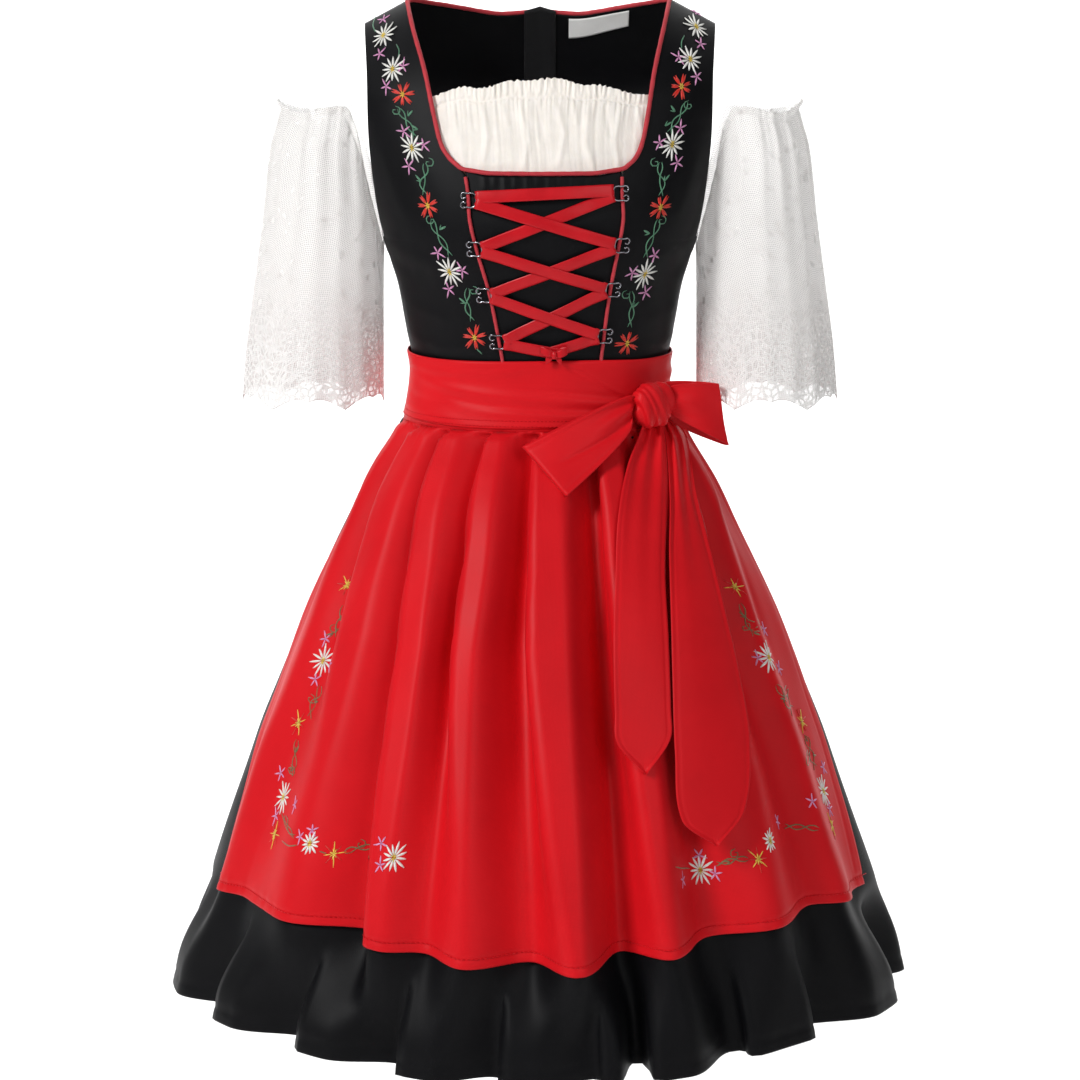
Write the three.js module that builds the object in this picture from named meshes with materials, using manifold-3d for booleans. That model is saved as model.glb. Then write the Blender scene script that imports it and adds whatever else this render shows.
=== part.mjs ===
// Dirndl: laced black bodice, ivory chest insert, lace sleeves, flared skirt and a red apron with a sash.
// It stands hollow on a general figure, front towards -Y, with left and right as the viewer sees them.
// Millimetres, +Z up. The origin lies between the shoulders, level with the top of the straps.
import * as THREE from "three";
import { mergeVertices } from "three/addons/utils/BufferGeometryUtils.js";
import Module from "manifold-3d";

const wasm = await Module();
wasm.setup();

// ---------------------------------------------------------------- sizes
const SEAM = 0.3; // between two pieces that are sewn together
const BODICE_WALL = 1.5;
const CLOTH_WALL = 1.2;
const LACE_WALL = 1.0;

const STRAP_TOP = -11; // height of the shoulder seam at the neck side
const SHOULDER_START = -100; // above this height the form rounds over the shoulder
const SHOULDER_SLOPE = 0.53; // fall of the shoulder for each millimetre outwards
const NECK_SIDE = 127.7; // from the centre to the neck side of the strap
const UNDERARM = -241;
const WAIST_SEAM = -366;
const SKIRT_HEM = -985;
const SKIRT_HEM_LIFT = 9; // the hem rises this much between front and side
const APRON_TOP = -413.9;
const APRON_HEM = -877;
const APRON_HEM_LIFT = 15;
const APRON_OUT = 7; // how far the apron lies outside the skirt
const SASH_TOP = -347;
const SASH_BOTTOM = -411;
const WAISTBAND_TOP = -352;
const WAISTBAND_BOTTOM = -413.4;
const PIPING_RADIUS = 2.1;
const PRINCESS_PIPING_RADIUS = 1.7;
const ZIP_END = -484;
const ZIP_SLIT = 3.2; // half the width of the slit that the zip closes
const RIBBON_WIDTH = 11;
const RIBBON_WALL = 0.8;

// The figure and the skirt as rings: half width, depth to front and back, and how square the ring is.
const FORM = [
  { z: -11, half: 186, front: 72, back: 84, square: 2.3 },
  { z: -83, half: 186, front: 92, back: 106, square: 2.3 },
  { z: -110, half: 184, front: 101, back: 110, square: 2.3 },
  { z: -142, half: 178, front: 112, back: 110, square: 2.3 },
  { z: -170, half: 171, front: 121, back: 108, square: 2.3 },
  { z: -200, half: 163.5, front: 127, back: 105, square: 2.3 },
  { z: -225, half: 156.5, front: 128, back: 102, square: 2.3 },
  { z: -249, half: 149.5, front: 124, back: 99, square: 2.3 },
  { z: -280, half: 139.5, front: 116, back: 95, square: 2.25 },
  { z: -320, half: 132.4, front: 107, back: 90, square: 2.2 },
  { z: -343, half: 128, front: 102, back: 87.5, square: 2.2 },
  { z: -366, half: 124.5, front: 100, back: 86, square: 2.2 },
  { z: -399, half: 128.5, front: 103, back: 90, square: 2.2 },
  { z: -419, half: 134.5, front: 108.5, back: 96, square: 2.15 },
  { z: -439, half: 145, front: 118, back: 106, square: 2.1 },
  { z: -479, half: 171, front: 144, back: 130, square: 2.05 },
  { z: -520, half: 192, front: 166, back: 152, square: 2 },
  { z: -560, half: 212, front: 187, back: 174, square: 2 },
  { z: -601, half: 231, front: 206, back: 195, square: 2 },
  { z: -643, half: 248, front: 225, back: 214, square: 2 },
  { z: -684, half: 264, front: 243, back: 231, square: 2 },
  { z: -726, half: 281, front: 260, back: 247, square: 2 },
  { z: -768, half: 296, front: 275, back: 262, square: 2 },
  { z: -810, half: 311, front: 288, back: 275, square: 2 },
  { z: -853, half: 326, front: 298, back: 287, square: 2 },
  { z: -896, half: 340, front: 306, back: 298, square: 2 },
  { z: -939, half: 353, front: 312, back: 307, square: 2 },
  { z: -985, half: 364, front: 318, back: 315, square: 2 },
];

// Folds that skirt and apron share, left to right and on round the back: the angle from the front at the
// waist, half way down and at the apron's hem, and how far the cloth stands out (+) or lies in (-) there.
const PLEATS = [
  { top: -99, mid: -94, hem: -90, midRise: 1, hemRise: 2 },
  { top: -86, mid: -80, hem: -75, midRise: -4, hemRise: -5 },
  { top: -75, mid: -67, hem: -71, midRise: 3, hemRise: 3 },
  { top: -63, mid: -57, hem: -63, midRise: -7, hemRise: -12 },
  { top: -50, mid: -44, hem: -46, midRise: 5, hemRise: 4 },
  { top: -41, mid: -33.5, hem: -32, midRise: -9, hemRise: -17 },
  { top: -34, mid: -26, hem: -26, midRise: 6, hemRise: 5 },
  { top: -20.5, mid: -20.5, hem: -19, midRise: -6, hemRise: -4 },
  { top: -14, mid: -14.5, hem: -12, midRise: 5, hemRise: 6 },
  { top: -2, mid: -4.5, hem: -1.5, midRise: -7, hemRise: -8 },
  { top: 5, mid: 5, hem: 6, midRise: 5, hemRise: 10 },
  { top: 19, mid: 15.5, hem: 14, midRise: -10, hemRise: -13 },
  { top: 27, mid: 21.5, hem: 20.5, midRise: 4, hemRise: 6 },
  { top: 38, mid: 29, hem: 29, midRise: -6, hemRise: -9 },
  { top: 50, mid: 44, hem: 41, midRise: 6, hemRise: 5 },
  { top: 60, mid: 51, hem: 54, midRise: -9, hemRise: -13 },
  { top: 70, mid: 59, hem: 61, midRise: 4, hemRise: 3 },
  { top: 79, mid: 67, hem: 69, midRise: -4, hemRise: -5 },
  { top: 90, mid: 84, hem: 82, midRise: 3, hemRise: 6 },
  { top: 103, mid: 99, hem: 97, midRise: -5, hemRise: -10 },
  { top: 118, mid: 115, hem: 113, midRise: 4, hemRise: 8 },
  { top: 131, mid: 130, hem: 128, midRise: -6, hemRise: -12 },
  { top: 145, mid: 146, hem: 147, midRise: 5, hemRise: 9 },
  { top: 159, mid: 161, hem: 161, midRise: -5, hemRise: -9 },
  { top: 171, mid: 172, hem: 173, midRise: 3, hemRise: 6 },
  { top: 186, mid: 187, hem: 188, midRise: -4, hemRise: -7 },
  { top: 200, mid: 202, hem: 204, midRise: 5, hemRise: 10 },
  { top: 216, mid: 217, hem: 219, midRise: -6, hemRise: -11 },
  { top: 231, mid: 233, hem: 236, midRise: 4, hemRise: 7 },
  { top: 246, mid: 249, hem: 252, midRise: -5, hemRise: -9 },
];
const PLEAT_LEVELS = { top: APRON_TOP, mid: -600, hem: -872 };

// Folds of the skirt's own hem, below the apron.
const HEM_FOLDS = [
  { at: -98, rise: 4 },
  { at: -87, rise: -26 },
  { at: -74, rise: 8 },
  { at: -60, rise: -18 },
  { at: -53, rise: 7 },
  { at: -38, rise: -8 },
  { at: -24, rise: 5 },
  { at: -4, rise: -5 },
  { at: 8, rise: 3 },
  { at: 15.5, rise: -20 },
  { at: 21.5, rise: 9 },
  { at: 34, rise: -9 },
  { at: 41, rise: 4 },
  { at: 47, rise: -15 },
  { at: 61, rise: 9 },
  { at: 77, rise: -28 },
  { at: 87, rise: 6 },
  { at: 102, rise: -16 },
  { at: 117, rise: 9 },
  { at: 131, rise: -18 },
  { at: 149, rise: 10 },
  { at: 163, rise: -14 },
  { at: 176, rise: 8 },
  { at: 190, rise: -12 },
  { at: 206, rise: 11 },
  { at: 221, rise: -17 },
  { at: 238, rise: 9 },
  { at: 251, rise: -13 },
];

// Seams of the bodice: height against the distance from the centre, left negative.
const NECK_EDGE = [
  { h: -11, left: -127.5, right: 124.5 },
  { h: -41, left: -120, right: 117 },
  { h: -83, left: -107, right: 106.5 },
  { h: -126, left: -97, right: 99 },
  { h: -146, left: -91, right: 94 },
  { h: -158, left: -82, right: 87 },
  { h: -165, left: -73, right: 78 },
];
const NECK_BOTTOM = { h: -169.5, left: -50, right: 54 };
const PRINCESS = [
  { h: -166, left: -70, right: 76 },
  { h: -189, left: -66.5, right: 76 },
  { h: -212, left: -65, right: 77 },
  { h: -242, left: -58, right: 72 },
  { h: -282, left: -47, right: 65 },
  { h: -342, left: -36, right: 58 },
  { h: -366, left: -33, right: 56 },
];
const ARMHOLE = [
  { h: -11, front: 168.5, back: 168.5 },
  { h: -76, front: 164.5, back: 166 },
  { h: -140, front: 163, back: 163 },
  { h: -183, front: 159, back: 160 },
  { h: -217, front: 154.5, back: 155.5 },
  { h: -234, front: 150, back: 151.5 },
];
// The back neckline, from the zip to the strap.
const BACK_NECK = [
  { x: 0, h: -55 },
  { x: 40, h: -50 },
  { x: 75, h: -38 },
  { x: 105, h: -24 },
  { x: 122, h: -14 },
  { x: 128, h: -11 },
];

const CHEST = { halfLeft: -112, halfRight: 113, middleTop: -89, sideTop: -98.5, bottom: -184, behind: 3 };

// One sleeve's rings: how far its middle lies from the centre, half its width and half its depth.
const SLEEVE = [
  { z: -105, middle: 204, half: 48, depth: 51 },
  { z: -118, middle: 204.5, half: 46.5, depth: 49 },
  { z: -150, middle: 209, half: 51, depth: 55 },
  { z: -215, middle: 210.5, half: 58.4, depth: 60 },
  { z: -275, middle: 215.5, half: 62.8, depth: 63 },
  { z: -339, middle: 220.5, half: 67.5, depth: 66 },
  { z: -398, middle: 223.5, half: 70.5, depth: 68 },
];
const SLEEVE_TOP = -111;
const SLEEVE_HEM = -392;
const SLEEVE_SEAM = -243; // where the sleeve meets the bodice under the arm
const SLEEVE_SEAM_FROM = 112; // angle from the outside at which its top edge turns down along the armhole

// Hooks, top to bottom.
const HOOKS = [
  { left: { x: -65.5, z: -194 }, right: { x: 74, z: -188 } },
  { left: { x: -60, z: -238 }, right: { x: 75, z: -235 } },
  { left: { x: -51.5, z: -282 }, right: { x: 67, z: -277 } },
  { left: { x: -39.5, z: -327 }, right: { x: 60, z: -322 } },
];
// Half the outline of a hook: x towards the centre of the bodice, y up. A tall loop takes the ribbon, and
// two eyes are sewn down.
const HOOK_WALL = 1.2;
const HOOK_OUTLINE = [
  [-5.1, 0.4],
  [-7.2, 1.9],
  [-7.4, 4.6],
  [-5.6, 6.8],
  [-2.8, 7.2],
  [-0.9, 6.2],
  [1.5, 7.3],
  [5.2, 7],
  [7.6, 4.6],
];
const HOOK_LOOP = [
  [0.9, 5.3],
  [4.8, 5.6],
  [6.2, 3.6],
];
const HOOK_EYE = { x: -4.1, y: 3.9, radius: 1.7, sides: 6 };

// The knot of the sash, and its ends: where they lie across, how high, how far out and how wide they are.
const KNOT = { x: 96, z: -391, width: 44, height: 41, depth: 24 };
const TAIL_SHORT = [
  { z: -411.5, left: 96, right: 120, out: 9.8 },
  { z: -446, left: 82, right: 122, out: 13 },
  { z: -488, left: 73, right: 120, out: 14.8 },
  { z: -540, left: 70, right: 117.5, out: 14.8 },
  { z: -590, left: 68, right: 119.5, out: 14.8 },
  { z: -654, left: 69, right: 121, out: 14.8 },
  { z: -679, left: 71, right: 120, out: 14.8 },
  { z: -706, left: 96.5, right: 97.5, out: 14.8 },
];
const TAIL_LONG = [
  { z: -412.4, left: 122.5, right: 133, out: 10 },
  { z: -428, left: 124.5, right: 143, out: 12 },
  { z: -475, left: 125, right: 150, out: 14.4 },
  { z: -521, left: 122, right: 162, out: 15.4 },
  { z: -591, left: 122.5, right: 179, out: 15.4 },
  { z: -634, left: 123, right: 188.5, out: 15.4 },
  { z: -690, left: 124.5, right: 197, out: 15.4 },
  { z: -750, left: 131, right: 190, out: 15.4 },
  { z: -775, left: 162.5, right: 163.5, out: 15.4 },
];
// The bow's left loop lies over the sash and the apron: its band from the knot to the fold at its end.
const LOOP_LEFT = {
  start: { x: 88.5, z: -393, out: 17 },
  end: { x: 3.5, z: -446, out: 22 },
  startReach: { x: 2, z: 11 },
  endReach: { x: -20.5, z: 21.5 },
  half: 5,
};
// The right loop stands out beyond the waist, open at its end.
const LOOP_RIGHT = {
  start: { x: 123, y: -69, z: -389 },
  end: { x: 176, y: -52, z: -405 },
  startReach: { x: -1, y: 0, z: 10 },
  endReach: { x: -6, y: -4, z: 31 },
  half: 11,
};

const ZIP = { tape: 32, coil: 4.4, coilTop: -75, tapeTop: -66, slider: -70, tabLength: 21, tabWidth: 5.5 };
const LABEL = { from: 29, to: 88, below: 6, height: 11, wall: 0.8, clear: 0.6 };

const COLOURS = {
  black: 0x1d1d22,
  red: 0xd01e26,
  piping: 0xc83a42,
  ivory: 0xf5efea,
  lace: 0xf1efec,
  steel: 0x77777c,
  label: 0xf6f6f6,
};

// ---------------------------------------------------------------- the form
const radians = THREE.MathUtils.degToRad;
const degrees = THREE.MathUtils.radToDeg;
const clamp = THREE.MathUtils.clamp;
const lerp = THREE.MathUtils.lerp;
const smooth = (t) => THREE.MathUtils.smoothstep(t, 0, 1);

// A smooth curve through a table's rows: the value of column `key` where column `along` is t.
function follow(rows, along, key, t) {
  const sign = Math.sign(rows[1][along] - rows[0][along]);
  let i = 0;
  while (i < rows.length - 2 && (t - rows[i + 1][along]) * sign > 0) i += 1;
  const at = (k) => rows[clamp(k, 0, rows.length - 1)];
  const [before, from, to, after] = [at(i - 1), at(i), at(i + 1), at(i + 2)];
  const step = to[along] - from[along];
  const u = clamp((t - from[along]) / step, 0, 1);
  const slope = (a, b) => (b[along] === a[along] ? 0 : (b[key] - a[key]) / (b[along] - a[along]));
  const startSlope = slope(before, to) * step;
  const endSlope = slope(from, after) * step;
  const u2 = u * u;
  const u3 = u2 * u;
  return (
    (2 * u3 - 3 * u2 + 1) * from[key] +
    (u3 - 2 * u2 + u) * startSlope +
    (3 * u2 - 2 * u3) * to[key] +
    (u3 - u2) * endSlope
  );
}

const shoulderLine = (x) => STRAP_TOP - SHOULDER_SLOPE * (Math.abs(x) - NECK_SIDE);
const shoulderRound = (t) => Math.pow(Math.max(0, 1 - Math.pow(clamp(t, 0, 1), 1.7)), 0.62);

// A point of the form at an angle from the front (0 front, 90 right, 180 back) and a height h, its ring
// widened by out.
// Over the shoulders h is the height at the neck side of the strap, and the form falls outwards from there.
function ring(angle, h, out = 0) {
  const half = follow(FORM, "z", "half", h) + out;
  const front = follow(FORM, "z", "front", h) + out;
  const back = follow(FORM, "z", "back", h) + out;
  const power = 2 / follow(FORM, "z", "square", h);
  const s = Math.sin(radians(angle));
  const c = Math.cos(radians(angle));
  const x = half * Math.sign(s) * Math.pow(Math.abs(s), power);
  let y = -(c >= 0 ? front : back) * Math.sign(c) * Math.pow(Math.abs(c), power);
  let z = h;
  if (h > SHOULDER_START) {
    const t = (h - SHOULDER_START) / (STRAP_TOP - SHOULDER_START);
    z = SHOULDER_START + t * (shoulderLine(x) - SHOULDER_START);
    y *= shoulderRound(t);
  }
  return new THREE.Vector3(x, y, z);
}

// A point of the form moved out along its normal, for what is sewn to the bodice.
function form(angle, h, out = 0) {
  const point = ring(angle, h);
  if (out === 0) return point;
  const around = ring(angle + 0.5, h).sub(ring(angle - 0.5, h));
  const up = ring(angle, Math.min(h + 1, STRAP_TOP)).sub(ring(angle, h - 1));
  return point.addScaledVector(around.cross(up).normalize(), out);
}

// The angle at which a ring, widened by out, has a given x on its front.
function angleAt(x, h, out = 0) {
  const half = follow(FORM, "z", "half", h) + out;
  const square = follow(FORM, "z", "square", h);
  const share = clamp(Math.abs(x) / half, 0, 1);
  return degrees(Math.asin(Math.pow(share, square / 2))) * Math.sign(x);
}
const behind = (angle) => (angle >= 0 ? 180 : -180) - angle;
const onFront = (x, h, out) => form(angleAt(x, h), h, out);
const onBack = (x, h, out) => form(behind(angleAt(x, h)), h, out);
const onRing = (x, h, out) => ring(angleAt(x, h, out), h, out);

// A wave through crests and troughs round the skirt, eased between neighbours.
function wave(knots, angle) {
  const turn = ((angle - knots[0].at + 720) % 360) + knots[0].at;
  let i = knots.findIndex((knot) => knot.at > turn);
  if (i < 0) i = knots.length;
  const from = knots[i - 1];
  const to = i < knots.length ? knots[i] : { at: knots[0].at + 360, rise: knots[0].rise };
  return lerp(from.rise, to.rise, smooth((turn - from.at) / (to.at - from.at)));
}

// How far skirt and apron stand out at an angle and height because of their shared pleats.
function pleatRise(angle, z) {
  const { top, mid, hem } = PLEAT_LEVELS;
  if (z >= top) return 0;
  const lower = z < mid;
  const t = lower ? clamp((z - mid) / (hem - mid), 0, 1) : (z - top) / (mid - top);
  const knots = PLEATS.map((row) => ({
    at: lower ? lerp(row.mid, row.hem, t) : lerp(row.top, row.mid, t),
    rise: lower ? lerp(row.midRise, row.hemRise, t) : row.midRise * Math.sqrt(t),
  }));
  return wave(knots, angle);
}

// The skirt's own folds take over below the apron's hem.
function skirtRise(angle, z) {
  const own = smooth((APRON_HEM + 5 - z) / 85);
  return lerp(pleatRise(angle, z), wave(HEM_FOLDS, angle), own);
}
function hemLift(angle, lift) {
  return Math.cos(radians(angle)) > 0 ? lift * Math.sin(radians(2 * angle)) ** 2 : 0;
}

// ---------------------------------------------------------------- making solids
const group = new THREE.Group();

function add(name, geometry, colour, metalness = 0, roughness = 0.8) {
  const material = new THREE.MeshStandardMaterial({ color: colour, metalness, roughness });
  const mesh = new THREE.Mesh(geometry, material);
  mesh.name = name;
  group.add(mesh);
  return mesh;
}

// A wall of cloth: point(u, v) gives its outer face, u running round to the right and v upwards.
function wall(point, columns, rows, thickness, closed = false) {
  const across = closed ? columns : columns + 1;
  const outer = [];
  for (let j = 0; j <= rows; j += 1) {
    for (let i = 0; i < across; i += 1) outer.push(point(i / columns, j / rows));
  }
  const grid = (i, j) => outer[j * across + (closed ? (i + columns) % columns : clamp(i, 0, columns))];
  const positions = outer.flatMap((p) => p.toArray());
  for (let j = 0; j <= rows; j += 1) {
    for (let i = 0; i < across; i += 1) {
      const right = grid(i + 1, j).clone().sub(grid(i - 1, j));
      const up = grid(i, Math.min(j + 1, rows)).clone().sub(grid(i, Math.max(j - 1, 0)));
      const inner = grid(i, j).clone().addScaledVector(right.cross(up).normalize(), -thickness);
      positions.push(...inner.toArray());
    }
  }
  const count = outer.length;
  const index = [];
  const quad = (a, b, c, d) => index.push(a, b, c, a, c, d);
  const id = (i, j) => j * across + (closed ? i % columns : i);
  for (let j = 0; j < rows; j += 1) {
    for (let i = 0; i < columns; i += 1) {
      const [a, b, c, d] = [id(i, j), id(i + 1, j), id(i + 1, j + 1), id(i, j + 1)];
      quad(a, b, c, d);
      quad(a + count, d + count, c + count, b + count);
    }
  }
  for (let i = 0; i < columns; i += 1) {
    const [a, b] = [id(i, 0), id(i + 1, 0)];
    quad(a, a + count, b + count, b);
    const [c, d] = [id(i, rows), id(i + 1, rows)];
    quad(c, d, d + count, c + count);
  }
  if (!closed) {
    for (let j = 0; j < rows; j += 1) {
      const [a, b] = [id(0, j), id(0, j + 1)];
      quad(a, b, b + count, a + count);
      const [c, d] = [id(columns, j + 1), id(columns, j)];
      quad(c, d, d + count, c + count);
    }
  }
  const geometry = new THREE.BufferGeometry();
  geometry.setAttribute("position", new THREE.Float32BufferAttribute(positions, 3));
  geometry.setIndex(index);
  return geometry;
}

// A round cord along points.
function cord(points, radius, steps, sides = 6) {
  const section = new THREE.Shape();
  for (let i = 0; i < sides; i += 1) {
    const turn = (2 * Math.PI * i) / sides;
    const [x, y] = [radius * Math.cos(turn), radius * Math.sin(turn)];
    if (i === 0) section.moveTo(x, y);
    else section.lineTo(x, y);
  }
  section.closePath();
  const extrudePath = new THREE.CatmullRomCurve3(points);
  return new THREE.ExtrudeGeometry(section, { steps, extrudePath, bevelEnabled: false });
}

function toManifold(geometry) {
  const bare = geometry.index ? geometry.toNonIndexed() : geometry.clone();
  bare.deleteAttribute("normal");
  bare.deleteAttribute("uv");
  const merged = mergeVertices(bare, 1e-4);
  return new wasm.Manifold(
    new wasm.Mesh({
      numProp: 3,
      vertProperties: new Float32Array(merged.attributes.position.array),
      triVerts: new Uint32Array(merged.index.array),
    }),
  );
}

function fromManifold(solid) {
  const mesh = solid.getMesh();
  const geometry = new THREE.BufferGeometry();
  geometry.setAttribute("position", new THREE.Float32BufferAttribute(mesh.vertProperties, 3));
  geometry.setIndex(new THREE.BufferAttribute(mesh.triVerts, 1));
  return geometry;
}

function boxAt(width, depth, height, x, y, z) {
  return new THREE.BoxGeometry(width, depth, height).translate(x, y, z);
}

// ---------------------------------------------------------------- bodice
const EDGE = PIPING_RADIUS + SEAM + 0.2; // a panel stops this far from the middle of the piping
const BACK_EDGE = PIPING_RADIUS - 0.5;
const TOP = STRAP_TOP - 0.004; // the two sides of the shoulder seam stay apart

// The inner edge of a side front: the princess seam, then the neckline up to the shoulder.
function innerEdge(side, h) {
  const out = side === "left" ? -1 : 1;
  if (h <= CENTRE_TOP) return follow(PRINCESS, "h", side, h) + (out * SEAM) / 2;
  const low = NECK_EDGE[NECK_EDGE.length - 1].h;
  const level = Math.max(h, low);
  const slope = follow(NECK_EDGE, "h", side, level + 1) - follow(NECK_EDGE, "h", side, level);
  return follow(NECK_EDGE, "h", side, level) + out * (EDGE + 0.2) * Math.hypot(1, slope);
}

// The angle of a panel's outer edge: the armhole above the underarm, the side seam below it.
function outerAngle(h, face) {
  const seam = 90 - degrees(SEAM / 2 / follow(FORM, "z", "front", h));
  if (h <= UNDERARM) return seam;
  const low = ARMHOLE[ARMHOLE.length - 1].h;
  if (h >= low) return angleAt(follow(ARMHOLE, "h", face, h), h);
  const curve = angleAt(follow(ARMHOLE, "h", face, low), low);
  return lerp(curve, seam, Math.sqrt((low - h) / (low - UNDERARM)));
}

const CENTRE_TOP = NECK_BOTTOM.h - EDGE;
const SEAM_ROWS = [WAIST_SEAM + SEAM, -344, -310, -275, -243, -240, -233, -212, CENTRE_TOP];
const SIDE_ROWS = [...SEAM_ROWS, -167.5, -158, -142, -116, -84, -52, -27, TOP];

function sideFront(side) {
  const out = side === "left" ? -1 : 1;
  const rows = SIDE_ROWS.length - 1;
  return wall(
    (u, v) => {
      const h = SIDE_ROWS[Math.round(v * rows)];
      const inner = angleAt(innerEdge(side, h), h);
      const outer = out * outerAngle(h, "front");
      const share = out < 0 ? 1 - u : u;
      return form(lerp(inner, outer, share), h);
    },
    5,
    rows,
    BODICE_WALL,
  );
}
add("bodice_front_left", sideFront("left"), COLOURS.black);
add("bodice_front_right", sideFront("right"), COLOURS.black);

add(
  "bodice_front_centre",
  wall(
    (u, v) => {
      const h = SEAM_ROWS[Math.round(v * (SEAM_ROWS.length - 1))];
      const left = follow(PRINCESS, "h", "left", h) + SEAM / 2;
      const right = follow(PRINCESS, "h", "right", h) - SEAM / 2;
      return onFront(lerp(left, right, u), h, 0);
    },
    5,
    SEAM_ROWS.length - 1,
    BODICE_WALL,
  ),
  COLOURS.black,
);

// A back panel's rows, as shares of its height: closer together where it rounds over the shoulder.
const BACK_TOP = TOP - 1.4; // both walls turn inwards at the shoulder, so the back stops a little lower
const BACK_LEVELS = [0, 0.14, 0.3, 0.46, 0.62, 0.76, 0.87, 0.94, 0.975, 1];
const slitHalf = (h) => (h >= ZIP_END ? ZIP_SLIT : SEAM);

// A back panel runs from the zip to the side seam and armhole, and up to the neckline and the shoulder seam.
function backPanel(side) {
  const out = side === "left" ? -1 : 1;
  return wall(
    (u, v) => {
      const share = out < 0 ? 1 - u : u;
      const reach = lerp(ARMHOLE[0].back, slitHalf(0), share);
      const neck = follow(BACK_NECK, "x", "h", reach) - (reach < NECK_SIDE ? BACK_EDGE : 0);
      const top = reach >= NECK_SIDE ? BACK_TOP : Math.min(neck, BACK_TOP);
      const h = lerp(WAIST_SEAM + SEAM, top, BACK_LEVELS[Math.round(v * (BACK_LEVELS.length - 1))]);
      const outer = outerAngle(h, "back");
      const inner = angleAt(slitHalf(h), h);
      const flat = angleAt(lerp(ARMHOLE[0].back, slitHalf(h), share), Math.max(h, SHOULDER_START));
      const angle = lerp(lerp(outer, inner, share), clamp(flat, inner, outer), smooth((h + 240) / 120));
      return form(out * (180 - angle), h);
    },
    8,
    BACK_LEVELS.length - 1,
    BODICE_WALL,
  );
}
add("bodice_back_left", backPanel("left"), COLOURS.black);
add("bodice_back_right", backPanel("right"), COLOURS.black);

// ---------------------------------------------------------------- piping
const PIPING_OUT = 0.3; // the middle of a cord sits this far outside the cloth it edges
const PRINCESS_OUT = PRINCESS_PIPING_RADIUS + SEAM;
const neckHeight = (h) => Math.min(h, STRAP_TOP - 1.2);
const neckBottom = [-1, -0.5, 0, 0.5, 1].map((t) => {
  const { left, right, h } = NECK_BOTTOM;
  return onFront(lerp(left, right, (t + 1) / 2), h, PIPING_OUT);
});
const pipingPoints = [
  ...NECK_EDGE.map(({ h, left }) => onFront(left, neckHeight(h), PIPING_OUT)),
  ...neckBottom,
  ...NECK_EDGE.toReversed().map(({ h, right }) => onFront(right, neckHeight(h), PIPING_OUT)),
];
add("neck_piping_front", cord(pipingPoints, PIPING_RADIUS, 36), COLOURS.piping);

for (const [side, out] of [
  ["left", -1],
  ["right", 1],
]) {
  const binding = BACK_NECK.map(({ x, h }) =>
    onBack(out * clamp(x, ZIP_SLIT + 2, 126), neckHeight(h), PIPING_OUT),
  );
  add(`neck_piping_back_${side}`, cord(binding, PIPING_RADIUS, 9), COLOURS.piping);
  const seam = PRINCESS.map((row) => {
    const h = clamp(row.h, SASH_TOP + 1, NECK_BOTTOM.h - EDGE - 1);
    return onFront(follow(PRINCESS, "h", side, h), h, PRINCESS_OUT);
  });
  add(`princess_piping_${side}`, cord(seam, PRINCESS_PIPING_RADIUS, 12), COLOURS.piping);
}

// ---------------------------------------------------------------- lacing
// A hook of bent wire lies over the princess piping, its tall loop towards the centre of the bodice.
const HOOK_SEAT = 2 * PRINCESS_PIPING_RADIUS + 2 * SEAM;
function hook(side, { x, z }) {
  const inwards = side === "left" ? 1 : -1;
  const trace = (path, points) => {
    const order = inwards > 0 ? points.toReversed() : points;
    path.setFromPoints(order.map(([px, py]) => new THREE.Vector2(px * inwards, py)));
    path.closePath();
    return path;
  };
  const mirrored = (half) => [...half, ...half.toReversed().map(([px, py]) => [px, -py])];
  const shape = trace(new THREE.Shape(), mirrored(HOOK_OUTLINE));
  shape.holes.push(trace(new THREE.Path(), mirrored(HOOK_LOOP)));
  for (const level of [-1, 1]) {
    const eye = [];
    for (let i = 0; i < HOOK_EYE.sides; i += 1) {
      const turn = (2 * Math.PI * i) / HOOK_EYE.sides;
      const [px, py] = [HOOK_EYE.radius * Math.cos(turn), HOOK_EYE.radius * Math.sin(turn)];
      eye.push([HOOK_EYE.x + px, level * HOOK_EYE.y + py]);
    }
    shape.holes.push(trace(new THREE.Path(), eye));
  }
  const geometry = new THREE.ExtrudeGeometry(shape, { depth: HOOK_WALL, bevelEnabled: false });
  const seat = onFront(x, z, HOOK_SEAT);
  const out = onFront(x, z, HOOK_SEAT + 1).sub(seat);
  const up = new THREE.Vector3(0, 0, 1).projectOnPlane(out).normalize();
  const across = up.clone().cross(out);
  return geometry.applyMatrix4(new THREE.Matrix4().makeBasis(across, up, out).setPosition(seat));
}
HOOKS.forEach((pair, i) => {
  add(`hook_left_${i + 1}`, hook("left", pair.left), COLOURS.steel, 0.9, 0.4);
  add(`hook_right_${i + 1}`, hook("right", pair.right), COLOURS.steel, 0.9, 0.4);
});

// A stretch of ribbon between two places, at its layer above the bodice.
const RIBBON_OUT = HOOK_SEAT - SEAM;
const RIBBON_LAYER = RIBBON_WALL + 0.45;
const HOOK_REACH = 8.2; // a ribbon ends this far from the middle of its hook
function stretch(start, end, layer) {
  const along = new THREE.Vector2(end.x - start.x, end.z - start.z);
  const slope = along.y / along.x;
  const from = { x: start.x + HOOK_REACH, z: start.z + HOOK_REACH * slope };
  const to = { x: end.x - HOOK_REACH, z: end.z - HOOK_REACH * slope };
  const side = new THREE.Vector2(-along.y, along.x).normalize().multiplyScalar(RIBBON_WIDTH / 2);
  return wall(
    (u, v) => {
      const x = lerp(from.x, to.x, u) + side.x * (2 * v - 1);
      const z = lerp(from.z, to.z, u) + side.y * (2 * v - 1);
      return onFront(x, z, RIBBON_OUT + layer * RIBBON_LAYER);
    },
    6,
    1,
    RIBBON_WALL,
  );
}
const LACE_KNOT = { x: 13, z: -338 };
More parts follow.
